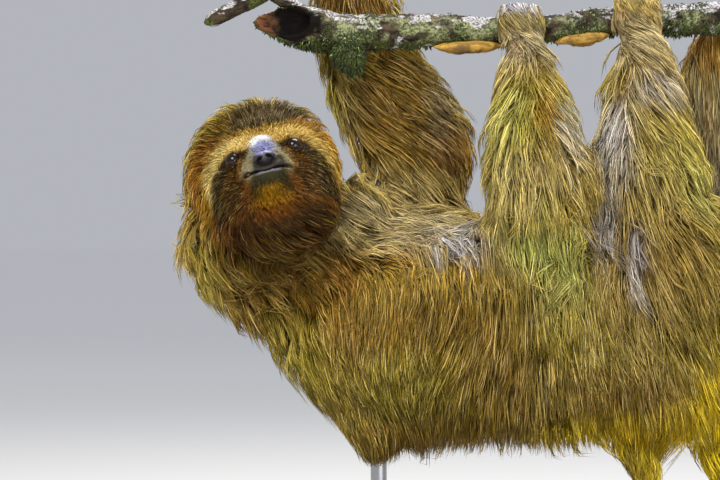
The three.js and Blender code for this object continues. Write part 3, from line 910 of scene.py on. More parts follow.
class SLOTH_OT_skin(bpy.types.Operator):
    """One skin under the whole coat, with the lids, lips and folds of the face"""

    bl_idname = "sloth.skin"
    bl_label = "Skin"

    def execute(self, context):
        settings = context.scene.sloth_skin
        pieces = [copy_node(name, f"flesh_{name}") for name in [*FLESH, *EYES]]
        for piece in pieces:
            with editing(piece):
                bpy.ops.transform.shrink_fatten(value=JOIN_OVERLAP)
        skin = join(pieces)
        skin.name = skin.data.name = "skin"
        rebuild(skin, settings.voxel, 14)
        self.sink(skin.data, settings)
        for reach in (34, 26):
            subdivide_where(skin, lambda local: (face_reach(local) < reach) & (local[:, 2] > 6))
        steady_smooth(skin.data, 2)
        eyes = eye_balls()
        for reach in (11, 5.5):
            subdivide_where(skin, lambda local: np.any(
                [np.linalg.norm(local - to_face(eye[0][None])[0], axis=1) < reach for eye in eyes], axis=0))
        subdivide_where(skin, lambda local: (np.abs(local[:, 1] - mouth_height(local[:, 0])) < 3.5)
                        & (np.abs(local[:, 0] - MOUTH_MIDDLE) < MOUTH_HALF + 1) & (local[:, 2] > 24))
        mesh = skin.data
        body = sculpt_face(to_body(get_points(mesh)), eyes)
        set_points(mesh, to_frame(body))
        local = to_face(body)
        lips, muzzle = smoothstep(12.0, 8.5, lip_reach(local)), smoothstep(19, 14, muzzle_reach(local))
        bare = np.maximum(lips, 0.7 * muzzle) * smoothstep(27, 33, local[:, 2])
        for centre, radius, _ in eyes:
            away = np.linalg.norm(body - centre, axis=1)
            bare = np.maximum(bare, smoothstep(radius + 1.8, radius + 0.8, away))
        set_attribute(mesh, "bare", bare)
        set_attribute(mesh, "marking", markings(body), "FLOAT_COLOR")
        shade_smooth(skin)
        cover(skin, skin_material(), "coat", *FLESH)
        return {"FINISHED"}

    def sink(self, mesh, settings):
        """Lowers the body's outer shape by the coat's depth, and flattens the skin under the long lock."""
        points, normals, edges = get_points(mesh), get_normals(mesh), get_edges(mesh)
        thickness = spread(body_thickness(mesh), edges, 6)
        depth = spread(coat_depth(to_body(points), thickness, settings), edges, 8)
        set_points(mesh, points - normals * depth[:, None] * MM)
        steady_smooth(mesh, 3)
        points = get_points(mesh)
        flat = nearness(to_body(points), LOW_LOCK, LOCK_REACH)[:, None]
        set_points(mesh, points + flat * (spread(points, edges, 90) - points))
        set_attribute(mesh, "depth", depth)


# ---- coat

# Stretches in a guide of hair, and the width of a hair's place on its piece's map.
STEPS, PATCH = 8, 0.003
# The thinnest that short hair gets, as a share of its piece's width.
THINNEST = 0.42
# Hair on the hands and feet, in millimetres, and how far each root lies under the skin.
HAND_HAIR, ROOT_SUNK = 21, 0.6
PARTNERS = ["straw", "umber", "straw", "olive", "gold", "tan"]
WARM_PARTNERS = ["gold", "umber", "rust", "chestnut", "straw", "amber"]
# Places with warmer loose hairs, and with hardly any of another colour (the rump, whose amber is painted
# backlight): centre and reach each way.
WARM_RUFF = (-42, -60, 238), (46, 90, 32)
PAINTED_BACKLIT_RUMP = (235, -20, 104), (70, 120, 34)
# Places where the coat stands fuller: centre, reach each way and how much more.
FULLER = [((-70, 0, 186), (34, 90, 30), 0.35), ((-119, -20, 300), (12, 60, 28), 0.50)]


def is_part(parts, *names):
    return np.isin(parts, [FLESH.index(name) for name in names])


class Hide:
    """The skin as the coat needs it: nearest points, smooth normals, coat depth and body part."""

    def __init__(self):
        mesh = bpy.data.objects["skin"].data
        self.tree, points, self.tris = tree_of(mesh)
        self.points = to_body(points)
        self.tri_normal = unit(get_normals(mesh)[self.tris].mean(axis=1))
        self.tri_depth = get_attribute(mesh, "depth")[self.tris].mean(axis=1)
        corners = self.points[self.tris]
        self.centres = corners.mean(axis=1)
        self.area = 0.5 * np.linalg.norm(across(corners), axis=1)
        self.part = self.parts()

    def parts(self):
        """For each triangle of the skin, which flesh node it lies in."""
        samples, owners = [], []
        for number, name in enumerate(FLESH):
            mesh = frame["nodes"][name].data
            corners = to_body(get_points(mesh))[triangles(mesh)]
            a, b, c = corners.transpose(1, 0, 2)
            samples.append(np.concatenate([corners.mean(axis=1), (a + b) / 2, (b + c) / 2, a, b, c]))
            owners.append(np.full(len(samples[-1]), number))
        samples, owners = np.concatenate(samples), np.concatenate(owners)
        cloud = kdtree.KDTree(len(samples))
        for i, sample in enumerate(samples.tolist()):
            cloud.insert(sample, i)
        cloud.balance()
        outer = self.centres + self.tri_normal * self.tri_depth[:, None]
        return np.array([owners[cloud.find(point)[1]] for point in outer.tolist()])

    def nearest(self, points):
        """Nearest skin point, smooth normal and triangle for each point."""
        found = [self.tree.find_nearest(point) for point in to_frame(points).tolist()]
        index = np.array([hit[2] for hit in found])
        return to_body(np.array([hit[0] for hit in found])), self.tri_normal[index], index


def scatter(hide, chance, count, rng):
    """Random points over the skin, in proportion to area times chance."""
    weight = hide.area * chance
    index = rng.choice(len(weight), count, p=weight / weight.sum())
    u, v = rng.random(count), rng.random(count)
    swap = u + v > 1
    u[swap], v[swap] = 1 - u[swap], 1 - v[swap]
    a, b, c = (hide.points[hide.tris[index, k]] for k in range(3))
    return a + (b - a) * u[:, None] + (c - a) * v[:, None], index


def comb(hide, roots, index, length, lift, swerve, bend):
    """Lays a guide from each root along the lie of the coat; returns its points and the normals there."""
    normal = hide.tri_normal[index]
    path, normals = [roots], [normal]
    place, ground, step = roots, roots, (length / STEPS)[:, None]
    for k in range(1, STEPS + 1):
        head = head_share(ground)
        run = lie(ground, normal, head)
        side = np.cross(normal, run)
        angle = (swerve + bend * (k / STEPS - 0.3))[:, None]
        run = run * np.cos(angle) + side * np.sin(angle)
        hang = smoothstep(0.55, 0.97, -normal[:, 2])[:, None] * (1 - head[:, None])
        run = unit(run * (1 - 0.75 * hang) + DOWN * 0.75 * hang)
        moved = place + run * step
        ground, normal, index = hide.nearest(moved)
        depth = hide.tri_depth[index]
        out = moved - ground
        inside = np.sum(out * normal, axis=1) < 0
        height = np.where(inside, 0, np.linalg.norm(out, axis=1))
        out = np.where(inside[:, None], normal, unit(out))
        wanted = depth * lift * smoothstep(-0.15, 0.58, k / STEPS)
        most = depth * (np.maximum(lift, 0.9) + 0.7 * hang[:, 0])
        height = np.clip(height, 0.88 * wanted, np.maximum(most, wanted))
        place = ground + out * height[:, None]
        path.append(place)
        normals.append(unit(out + normal * 0.5))
    return np.stack(path, axis=1), np.stack(normals, axis=1)


def hairs_of(guides, normals, per_lock, radius, pull, wave, rng):
    """Spreads hairs round each guide, drawn together towards its tip."""
    tangent = unit(np.gradient(guides, axis=1))
    sideways = unit(np.cross(normals, tangent))
    owner = np.repeat(np.arange(len(guides)), per_lock)
    total = len(owner)
    around = rng.random(total) * 2 * math.pi
    away = np.sqrt(rng.random(total)) * radius[owner]
    side, slide = away * np.cos(around), away * np.sin(around)
    t = np.linspace(0, 1, STEPS + 1)[None, :]
    gather = 1 - pull[owner][:, None] * t ** 1.4
    fray = rng.normal(0, 1, total)[:, None] * 0.16 * radius[owner][:, None] * t ** 2
    phase, turns = rng.random((2, total))[..., None] * [[[6.28]], [[1.1]]]
    sway = wave[owner][:, None] * np.sin(phase + 6.28 * (0.35 + turns) * t) * t
    rise = rng.normal(0, 1, total)[:, None] * 0.9 * t
    shift = (side[:, None] * gather + fray + sway)[..., None]
    return (guides[owner] + sideways[owner] * shift + tangent[owner] * slide[:, None, None]
            + normals[owner] * rise[..., None]), normals[owner], owner


def along_path(values, keys):
    """Values part of the way along each path, where keys counts its steps."""
    low = np.minimum(keys.astype(int), STEPS - 1)
    part = (keys - low)[..., None]
    rows = np.arange(len(values))[:, None]
    return values[rows, low] * (1 - part) + values[rows, low + 1] * part


def hair_faces(spans, t):
    """One hair's triangles from its root to its tip, and their corners on its patch of the map."""
    faces, spots = [[0, 2, 1]], [[(-0.5, -0.5), (0.5, -0.5), (0.0, -0.25)]]
    for s in range(spans):
        v0, v1 = t[s] - 0.5, t[s + 1] - 0.5
        for c in range(3):
            u0, u1 = c / 3 - 0.5, (c + 1) / 3 - 0.5
            a, b = s * 3 + c, s * 3 + (c + 1) % 3
            if s < spans - 1:
                faces += [[a, b, b + 3], [a, b + 3, a + 3]]
                spots += [[(u0, v0), (u1, v0), (u1, v1)], [(u0, v0), (u1, v1), (u0, v1)]]
            else:
                faces.append([a, b, spans * 3])
                spots.append([(u0, v0), (u1, v0), ((u0 + u1) / 2, v1)])
    return np.array(faces), np.array(spots)


def weave(name, paths, normals, width, spans, marking, tone, patch, root=0.0):
    """Joined three-sided, tapering hairs as one mesh, each a small patch of the map named OFBake."""
    count, per = len(paths), spans * 3 + 1
    keys = np.linspace(0, STEPS, spans + 1)
    points, ups = along_path(paths, keys), unit(along_path(normals, keys))
    tangent = unit(np.gradient(points, axis=1))
    up = unit(ups - tangent * np.sum(ups * tangent, axis=2, keepdims=True))
    side = np.cross(tangent, up)
    t = keys / STEPS
    taper = np.interp(t, [0, 0.25, 0.6, 0.85, 1.0], [0.75, 1.0, 0.92, 0.6, 0.0])
    radius = (width[:, None] * 0.58 * taper[None, :])[..., None]
    angles = [math.pi / 2 + corner * 2 * math.pi / 3 for corner in range(3)]
    rings = [points + (side * math.cos(angle) + up * math.sin(angle)) * radius for angle in angles]
    ring = np.stack(rings, axis=2)[:, :spans].reshape(count, spans * 3, 3)
    verts = np.concatenate([ring, points[:, -1:]], axis=1)
    faces, spots = hair_faces(spans, t)
    index = (faces[None] + (np.arange(count) * per)[:, None, None]).reshape(-1)
    mesh = bpy.data.meshes.new(name)
    mesh.vertices.add(count * per)
    mesh.vertices.foreach_set("co", to_frame(verts.reshape(-1, 3)).astype(np.float32).ravel())
    total = count * len(faces)
    mesh.loops.add(total * 3)
    mesh.loops.foreach_set("vertex_index", index.astype(np.int32))
    mesh.polygons.add(total)
    mesh.polygons.foreach_set("loop_start", np.arange(0, total * 3, 3, dtype=np.int32))
    mesh.polygons.foreach_set("use_smooth", np.ones(total, bool))
    along = root + (1 - root) * np.concatenate([np.repeat(t[:spans], 3), [1.0]])
    set_attribute(mesh, "along", np.tile(along, count))
    set_attribute(mesh, "tone", np.repeat(tone, per))
    set_attribute(mesh, "marking", np.repeat(marking, per, axis=0), "FLOAT_COLOR")
    layer = mesh.uv_layers.new(name="OFBake")
    layer.data.foreach_set("uv", (patch[:, None, None, :] + spots[None] * PATCH).astype(np.float32).ravel())
    mesh.update()
    mesh.validate()
    return new_piece(name, mesh)


def fill_map(found):
    """Rows of two measures, scaled to fill the map but for half a patch at its edges."""
    low, high = found.min(axis=0), found.max(axis=0)
    return PATCH + (1 - 2 * PATCH) * (found - low) / np.maximum(high - low, 1e-6)


def unwrap(points, axis_from, axis_to):
    """The skin's own cylinder unwrap round a line, as turn and height, both filling 0 to 1."""
    start, end = np.array(axis_from, float), np.array(axis_to, float)
    line = unit(end - start)
    aside = unit(np.cross(line, [0.3, 0.9, 0.2]))
    ahead = np.cross(line, aside)
    away = points - start
    return fill_map(np.stack([np.arctan2(away @ aside, away @ ahead), away @ line], axis=1))


def hair_length(points, index, hide, full):
    """The hair's length at each root, in millimetres."""
    length = np.full(len(points), float(full))
    part = hide.part[index]
    length[is_part(part, "hand_left", "hand_right", "foot_left", "foot_right")] = HAND_HAIR
    arms = is_part(part, "forearm_left", "forearm_right", "shin_left", "shin_right")
    length = np.where(arms, 0.84 * full - 0.14 * full * smoothstep(345, 400, points[:, 2]), length)
    length = np.where(is_part(part, "neck"), 0.78 * full, length)
    local = to_face(points)
    head = head_share(points)
    reach = face_reach(local) + np.maximum(0, 26 - local[:, 2]) * 0.5
    short = np.interp(reach, [0, 18, 26, 36, 48, 60, 80], [1.3, 1.9, 3.6, 7.5, 12.5, 16, 19])
    short *= 1 + 0.9 * smoothstep(-12, -42, local[:, 1])
    return length * (1 - head) + short * head


def coat(hide, name, chance, hairs, per_lock, radius, width, spans, axis, seed,
         wave=0.85, stray=0.03, mixed=0.8, root=0.0):
    """One piece of the coat, grown where chance is above 0 and thicker where its hair is short."""
    settings = bpy.context.scene.sloth_coat
    rng, full = np.random.default_rng(settings.seed + seed), settings.body_length / MM
    locks = hairs // per_lock
    usual = hair_length(hide.centres, np.arange(len(hide.centres)), hide, full)
    roots, index = scatter(hide, chance * np.minimum(full / usual, 4.5) ** 0.8, locks, rng)
    on_head, local = head_share(roots), to_face(roots)
    normal, depth = hide.tri_normal[index], hide.tri_depth[index]
    # each lock's own length, lift and turn, with short, dropping locks under the body
    length = hair_length(roots, index, hide, full) * rng.uniform(0.75, 1.2, locks)
    below = smoothstep(0.55, 0.97, -normal[:, 2]) * (1 - on_head)
    drop = depth * rng.uniform(0.9, 1.75, locks)
    drop *= 1 + 1.1 * hump(roots[:, 0], LOW_LOCK[0], 22)
    drop[rng.random(locks) < 0.07] *= 1.8
    length += below * (np.minimum(length, drop) - length)
    lift = rng.uniform(0.50, 1.14, locks)
    for place, reach, more in FULLER:
        lift *= 1 + more * nearness(roots, place, reach)
    swerve = rng.normal(0, 0.11, locks) + 0.18 * rough_field(roots, 24.0, 5) * (1 - 0.5 * on_head)
    bend = rng.normal(0, 0.20, locks)
    wild = rng.random(locks) < stray
    swerve[wild] += rng.normal(0, 0.20, wild.sum())
    lift[wild] = rng.uniform(1.0, 1.25, wild.sum()) * (1 - 0.2 * on_head[wild])
    guides, normals = comb(hide, roots - normal * ROOT_SUNK, index, length, lift, swerve, bend)
    share = np.clip(length / full, 0.12, 1.0)
    pull = rng.uniform(0.0, 0.38, locks)
    paths, ups, owner = hairs_of(guides, normals, per_lock, radius * share, pull, wave * share, rng)
    # each hair is cut off at its own length
    count = len(paths)
    keys = np.linspace(0, STEPS, STEPS + 1)[None, :] * rng.uniform(0.70, 1.0, count)[:, None]
    paths, ups = along_path(paths, keys), along_path(ups, keys)
    # its colour is the marking there, mixed with a partner's, and its tone goes from dark to frosted
    choice = rng.integers(0, len(PARTNERS), count)
    palettes = (PARTNERS, WARM_PARTNERS)
    cool, warm = (np.array([coat_colour(one) for one in names])[choice] for names in palettes)
    warmth = np.maximum(smoothstep(0.2, 0.8, on_head), nearness(roots, *WARM_RUFF))
    partner = cool + (warm - cool) * warmth[owner][:, None]
    # fewer partner colours on the rump, so that its painted backlight stays pure
    muted = 1 - 0.7 * nearness(roots, *PAINTED_BACKLIT_RUMP)[owner][:, None]
    strength = rng.beta(1.2, 3.0, count)[:, None] * mixed * muted
    marking = markings(paths[:, STEPS // 2]) * (1 - strength) + partner * strength
    lock_tone = rng.normal(0, 0.10, locks)[owner]
    tone = np.clip(rng.beta(1.0, 1.4, count) + lock_tone + 0.10 * rough_field(paths[:, 0], 15.0, 9), 0, 1)
    calm = 0.7 * smoothstep(26, 15, muzzle_reach(local))[owner] * on_head[owner]
    tone += (0.5 - tone) * calm
    tone = np.maximum(tone - (0.36 * smoothstep(-20, -38, local[:, 1]) * on_head)[owner], 0)
    thick = width * rng.uniform(0.7, 1.3, count) * np.clip(length[owner] / (0.45 * full), THINNEST, 1.0)
    piece = weave(name, paths, ups, thick, spans, marking, tone, unwrap(paths[:, 0], *axis), root)
    cover(piece, bpy.data.materials.get("hair") or coat_material(), "coat")


LENGTHWISE = ((-80, 0, 190), (330, 0, 190))
# Pieces of the coat on the body: the flesh under each, the planes that bound it (axis, side, place),
# how many hairs it has, and the line that it is unwrapped round.
BODY_PIECES = [
    ("coat_neck", ["neck"], [], 6000, ((-60, 0, 200), (-70, -30, 300))),
    ("coat_flank_fore", ["trunk"], [(1, -1, 0), (0, -1, 90)], 11500, LENGTHWISE),
    ("coat_flank_rear", ["trunk"], [(1, -1, 0), (0, 1, 90)], 11500, LENGTHWISE),
    ("coat_flank_far", ["trunk"], [(1, 1, 0)], 10000, LENGTHWISE),
    ("coat_arm_near", ["forearm_right", "upper_arm_right", "hand_right"], [], 9600,
     ((128, -55, 200), (118, -35, 420))),
    ("coat_arm_far", ["forearm_left", "upper_arm_left", "hand_left"], [], 8400,
     ((40, 55, 200), (0, 53, 480))),
    ("coat_leg_near", ["shin_right", "thigh_right", "foot_right"], [], 9600,
     ((220, -60, 180), (204, -35, 420))),
    ("coat_leg_far", ["shin_left", "thigh_left", "foot_left", "tail"], [], 7800,
     ((272, 50, 100), (285, 50, 420))),
]
# Each coat piece has random draws of its own, its number counted on from the seed.
FACE_SEED, HEAD_SEED = 20, 21


class SLOTH_OT_body_coat(bpy.types.Operator):
    """The long coat of the neck, flanks, limbs and tail"""

    bl_idname = "sloth.body_coat"
    bl_label = "Body coat"

    def execute(self, context):
        hide, width = Hide(), context.scene.sloth_coat.hair / MM
        for n, (name, flesh, bounds, hairs, axis) in enumerate(BODY_PIECES):
            chance = is_part(hide.part, *flesh).astype(float)
            for way, side, place in bounds:
                chance *= (hide.centres[:, way] - place) * side >= 0
            coat(hide, name, chance, hairs, per_lock=6, radius=6.0, width=width, spans=3, axis=axis, seed=n)
        return {"FINISHED"}


class SLOTH_OT_head_coat(bpy.types.Operator):
    """The short coat of the face and the longer hair of the crown, cheeks and ruff"""

    bl_idname = "sloth.head_coat"
    bl_label = "Head coat"

    def execute(self, context):
        settings = context.scene.sloth_coat
        hide = Hide()
        local = to_face(hide.centres)
        head = is_part(hide.part, "head").astype(float)
        reach = face_reach(local) + np.maximum(0, 24 - local[:, 2]) * 0.6
        bare = lip_reach(local) < 10.2
        for centre, _, turn in eye_balls():
            away = local - to_face(centre[None])[0]
            inward = away[:, 0] * (-1 if turn > 0 else 1)
            opening = np.hypot(away[:, 0] / EYE_OPENING[0], (away[:, 1] - EYE_RAISE) / EYE_OPENING[1])
            bare |= opening < 1.2 + 0.08 * inward
        face = head * (reach < 40) * ~bare
        rest = head * (reach >= 34) * (1.1 + 0.3 * (local[:, 2] > -20))
        face_axis, head_axis = (from_face([[0, up, -60], [0, up, 60]]) for up in (-10, 0))
        face_width = settings.face_hair / MM / THINNEST
        coat(hide, "coat_face", face, 15000, per_lock=3, radius=6.0, width=face_width,
             spans=2, axis=face_axis, seed=FACE_SEED, wave=0.6, stray=0.0, mixed=0.22, root=0.22)
        coat(hide, "coat_head", rest, 9000, per_lock=5, radius=8.0, width=settings.hair / MM,
             spans=3, axis=head_axis, seed=HEAD_SEED, wave=0.8, stray=0.03, mixed=0.45)
        return {"FINISHED"}


# ---- eyes, nose, claws


def settle(name):
    """Names a new primitive and moves its place and size into its mesh."""
    piece = bpy.context.object
    bpy.ops.object.transform_apply(location=True, rotation=True, scale=True)
    piece.name = piece.data.name = name
    return piece


class SLOTH_OT_eyes(bpy.types.Operator):
    """Two dark, wet eyeballs"""

    bl_idname = "sloth.eyes"
    bl_label = "Eyes"

    def execute(self, context):
        for name, (centre, radius, _) in zip(EYES, eye_balls()):
            centre, radius = to_frame(centre[None])[0], radius * MM
            deselect()
            bpy.ops.mesh.primitive_uv_sphere_add(segments=48, ring_count=32, radius=radius, location=centre)
            ball = settle(f"{name}_ball")
            shade_smooth(ball)
            cover(ball, eye_material(ball.name, centre, radius), "eye", name)
        return {"FINISHED"}


def eye_material(name, centre, radius):
    """Dark brown iris round a black pupil, under a wet surface."""
    brush = Brush(name)
    front = centre + unit(FORWARD + 0.10 * np.array([0, -1, 0.2])) * radius
    at = brush.node("ShaderNodeTexCoord", {}, {}, "Object")
    away = brush.node("ShaderNodeVectorMath", {"operation": "DISTANCE"}, {0: at, 1: tuple(front)}, "Value")
    grain = brush.noise(900, 3.0)
    iris = brush.mix(grain.over(0.35, 0.7), "140904", "2b170b")
    colour = brush.mix(away.over(0.30 * radius, 0.42 * radius), "040303", iris)
    colour = brush.mix(away.over(0.72 * radius, 0.95 * radius), colour, "120a07")
    return brush.finish(Base_Color=colour, Roughness=0.07, Specular_IOR_Level=0.36)


# The nose's middle line, and each nostril's place aside and upward of the head's centre.
NOSE_LINE, NOSTRILS = 0.6, [(-2.8, -8.4), (4.0, -7.7)]
PAD_SHRINK, PAD_SHIFT = np.array([0.78, 0.60, 0.78]), np.array([0.0, 2.3, -2.5])


class SLOTH_OT_nose(bpy.types.Operator):
    """The bare nose pad with its two nostrils"""

    bl_idname = "sloth.nose"
    bl_label = "Nose"

    def execute(self, context):
        pad = copy_node("nose", "nose_pad")
        rebuild(pad, size=0.0006, rounds=10)
        local = to_face(to_body(get_points(pad.data)))
        middle = (local.min(axis=0) + local.max(axis=0)) / 2
        local = middle + (local - middle) * PAD_SHRINK + PAD_SHIFT
        for aside, up in NOSTRILS:
            x, y = (local[:, 0] - aside) * (1 if aside > NOSE_LINE else -1), local[:, 1] - up
            hole = np.hypot((x - 0.5) / 2.7, (y + 0.30 * x) / 1.25)
            front = smoothstep(44, 48, local[:, 2])
            local[:, 2] -= front * 3.6 * smoothstep(1.15, 0.45, hole)
            local[:, 2] += front * 0.25 * hump(hole, 1.45, 0.35)
        local[:, 2] -= 0.7 * hump(local[:, 0], NOSE_LINE, 0.6) * smoothstep(50, 54, local[:, 2])
        set_points(pad.data, to_frame(from_face(local)))
        away = np.min([oval(local, *place, 1, 1) for place in NOSTRILS], axis=0)
        # dark: the pad's lower part; the rest of the pad gets painted lilac sheen
        set_attribute(pad.data, "dark", smoothstep(-3.6, -7.4, local[:, 1] - 0.05 * local[:, 0] ** 2))
        set_attribute(pad.data, "nostril", smoothstep(3.1, 1.3, away) * smoothstep(44, 47, local[:, 2]))
        shade_smooth(pad)
        cover(pad, nose_material(), "nose", "nose")
        return {"FINISHED"}


def nose_material():
    """Dark, damp leather with fine pits, and painted lilac sheen over its upper half."""
    brush = Brush("nose_leather")
    pits, mottle = brush.cells(1300), brush.noise(260, 3.0)
    colour = brush.mix(mottle.over(0.35, 0.7), "2a2226", "3c333c")
    # painted sheen: lilac over the pad's upper half
    lilac_sheen = brush.mix(mottle.over(0.3, 0.7), "625e92", "8481a4")
    colour = brush.mix(brush.attribute("dark"), lilac_sheen, colour)
    colour = brush.mix(brush.attribute("nostril"), colour, "080505")
    return brush.finish(
        Base_Color=colour, Roughness=pits * 0.12 + 0.38, Specular_IOR_Level=0.42,
        Normal=brush.bump(pits, 0.35, 0.0004))


class SLOTH_OT_claws(bpy.types.Operator):
    """Twelve long hooked claws"""

    bl_idname = "sloth.claws"
    bl_label = "Claws"

    def execute(self, context):
        material = claw_material()
        for name in sorted(n for n in frame["nodes"] if n.startswith("claw_")):
            claw = copy_node(name, f"{name}_horn")
            rebuild(claw, size=0.0011, rounds=8)
            shade_smooth(claw)
            cover(claw, material, "claw", name)
        return {"FINISHED"}


def claw_material():
    """Yellowish horn with dark streaks along it."""
    brush = Brush("claw_horn")
    grain, stain = brush.noise(900, 4.0, (0.2, 1, 1), 0.6), brush.noise(70, 3.0)
    colour = brush.mix(grain.over(0.3, 0.75), "8f7a58", "4f3d28")
    colour = brush.mix(stain.over(0.4, 0.7) * 0.6, colour, "b8a57c")
    bump = brush.bump(grain, 0.3, 0.0004)
    return brush.finish(Base_Color=colour, Roughness=grain * 0.2 + 0.3, Normal=bump)


# ---- perch

# The hollow at the branch's broken end: x, y, z and radius along it.
HOLLOW = np.array([
    (-100, -17, 418, 7), (-84, -15, 417, 11), (-68, -13, 416, 13.5), (-50, -8, 413, 8)], float)
HOLLOW_DEEPER, TIP_DRAWN_IN = 6.0, 17.0
# Marks of rotted wood on the branch, with painted shade in its hollow, which the side shoot, in the same
# bark, has none of.
ROT_AND_SHADE_MARKS = ("hollow", "tongue", "rim")


def roughen(piece, size, smooth, ridges, lumps, along=1):
    """Remeshes a CAD copy and gives it real bark relief, drawn out in x by 1 / along."""
    rebuild(piece, size, smooth)
    mesh = piece.data
    points, normals = to_body(get_points(mesh)), get_normals(mesh)
    relief = lumps * rough_field(points, 14.0, 11) + 0.6 * lumps * rough_field(points, 6.0, 12)
    crack = np.abs(rough_field(points * [along, 1, 1], 3.2, 13)) ** 0.7
    relief += ridges * (crack - 0.5) + 0.4 * ridges * rough_field(points, 1.6, 14)
    set_points(mesh, to_frame(points + normals * relief[:, None]))
    shade_smooth(piece)


def rot_end(branch):
    """Draws in the branch's broken tip, deepens the hollow in it and marks the rotted wood and the hollow's
    painted shade.
    """
    points = to_body(get_points(branch.data))
    x, y, z = points.T
    middle_y, middle_z, radius = (np.interp(x, HOLLOW[:, 0], HOLLOW[:, k]) for k in (1, 2, 3))
    away = np.hypot(y - middle_y, z - middle_z) - radius
    inside = smoothstep(2.2, 0.8, away) * smoothstep(-43, -47, x)
    hollow = inside * smoothstep(-84, -76, x + 3 * rough_field(points, 5.0, 15))
    rim = smoothstep(5.0, 2.5, away) * (1 - inside) * smoothstep(-6, -9, y)
    for name, values in zip(ROT_AND_SHADE_MARKS, (hollow, inside - hollow, rim)):
        set_attribute(branch.data, name, values)
    points[:, 1] += HOLLOW_DEEPER * hollow * smoothstep(-13, -5, y)
    points[:, 0] += TIP_DRAWN_IN * smoothstep(-12, -50, x)
    set_points(branch.data, to_frame(points))


def bark_material():
    """Dark, cracked bark: white lichen on top, green moss low on the front, brown rotted wood and
    near-black painted shade in the hollow.
    """
    brush = Brush("bark")
    grain = brush.noise(260, 6.0, (0.35, 1, 1), 0.5)
    broad, speck = brush.noise(38, 3.0), brush.noise(620, 4.0)
    colour = brush.mix(grain.over(0.35, 0.68), "17110c", "443829")
    colour = brush.mix(broad.over(0.45, 0.7) * 0.5, colour, "6e5a44")
    facing = brush.node("ShaderNodeNewGeometry", {}, {}, "Normal")
    lit = brush.node("ShaderNodeSeparateXYZ", {}, {0: facing}, "Z")
    lichen = brush.noise(85, 5.0, (0.7, 1, 1), 0.8)
    white = (lit.over(-0.15, 0.75) * 0.20 + lichen + brush.noise(13, 1.0) * 0.45).over(0.84, 0.93)
    green = brush.noise(70, 5.0, (1, 1, 1), 0.6)
    mossy = ((1 - lit.over(-0.9, 0.9)) * 0.16 + green).over(0.57, 0.66)
    spots = speck.over(0.35, 0.65)
    hollow, tongue, rim = (brush.attribute(name) for name in ROT_AND_SHADE_MARKS)
    colour = brush.mix(mossy * 0.8, colour, brush.mix(spots, "262b10", "5c6527"))
    colour = brush.mix(white * 0.85, colour, brush.mix(spots, "5e5850", "c9c5c8"))
    colour = brush.mix(rim * green.over(0.42, 0.60) * 0.6, colour, brush.mix(spots, "4e5a2c", "a9a884"))
    colour = brush.mix(tongue, colour, brush.mix(grain.over(0.35, 0.7), "241208", "6e4527"))
    # painted shade: the hollow is near-black
    colour = brush.mix(hollow, colour, brush.mix(grain.over(0.4, 0.7), "060302", "150b05"))
    height = grain * 0.7 + speck * 0.3 + white * 0.35
    return brush.finish(
        Base_Color=colour, Roughness=0.88 + hollow * 0.12, Specular_IOR_Level=0.2,
        Normal=brush.bump(height, 0.7, 0.0014))


def deadwood_material():
    """Bare ochre wood where the bark has come away."""
    brush = Brush("dead_wood")
    grain, rot = brush.noise(300, 5.0, (0.15, 1, 1), 0.5), brush.noise(55, 4.0)
    colour = brush.mix(grain.over(0.35, 0.7), "866425", "c79c3c")
    colour = brush.mix(rot.over(0.55, 0.7) * 0.8, colour, "4c3416")
    return brush.finish(Base_Color=colour, Roughness=0.8, Normal=brush.bump(grain, 0.6, 0.001))


class SLOTH_OT_perch(bpy.types.Operator):
    """The branch, its side shoot and the strips of dead wood under it"""

    bl_idname = "sloth.perch"
    bl_label = "Perch"

    def execute(self, context):
        bark, bare = bark_material(), deadwood_material()
        branch, shoot = copy_node("perch_branch", "branch"), copy_node("perch_shoot", "side_shoot")
        roughen(branch, size=0.0016, smooth=8, ridges=1.1, lumps=0.9, along=0.35)
        rot_end(branch)
        roughen(shoot, size=0.0013, smooth=6, ridges=0.7, lumps=0.5, along=0.35)
        set_all(shoot, **dict.fromkeys(ROT_AND_SHADE_MARKS, 0.0))
        cover(branch, bark, "bark", "perch_branch")
        cover(shoot, bark, "bark", "perch_shoot")
        for n in (1, 2):
            strip = copy_node(f"perch_deadwood_{n}", f"dead_wood_{n}")
            roughen(strip, size=0.001, smooth=8, ridges=0.7, lumps=0.5, along=0.15)
            points = to_body(get_points(strip.data))
            lengthwise, height = points * [1, 0, 0], points[:, 2]
            ragged = 0.9 * rough_field(lengthwise, 9.0, 30 + n) + 0.5 * rough_field(lengthwise, 2.5, 40 + n)
            points[:, 2] += 1.5 + ragged * smoothstep(height.max(), height.min(), height)
            set_points(strip.data, to_frame(points))
            cover(strip, bare, "deadwood", f"perch_deadwood_{n}")
        return {"FINISHED"}


def moss_material():
    """Short moss, dark at the root and pale on some of its tips."""
    brush = Brush("moss")
    along, tone = brush.attribute("along"), brush.attribute("tone")
    colour = brush.mix(tone, "1b200b", "667730")
    colour = brush.mix(tone.over(0.78, 0.95), colour, "b4c77a")
    colour = brush.mix((1 - along) * 0.6, colour, "1d2009")
    return brush.finish(Base_Color=colour, Roughness=0.75)


def mossiness(mesh, tris, centre, normal):
    """Shares of moss on each triangle of the branch: in patches, less at its tip, none in the hollow."""
    thick = hump(centre[:, 0], -30, 26) + 0.6 * smoothstep(215, 250, centre[:, 0])
    patchy = smoothstep(0.15, 0.6, rough_field(centre, 16.0, 21) + 0.5 * rough_field(centre, 7.0, 22)
                        - 0.35 * normal[:, 2] - 0.1 * normal[:, 1] + 0.7 * thick)
    rotted = (get_attribute(mesh, "hollow") + get_attribute(mesh, "tongue"))[tris].max(axis=1)
    return patchy + 0.04, smoothstep(-84, -40, centre[:, 0]), smoothstep(0.3, 0.05, rotted)


MOSS_SEED = 40
# Where tufts of moss grow, how many, and how long the longest are in millimetres.
MOSSES = [("branch", 5200, 2.4), ("moss_clump", 2200, 4.6)]


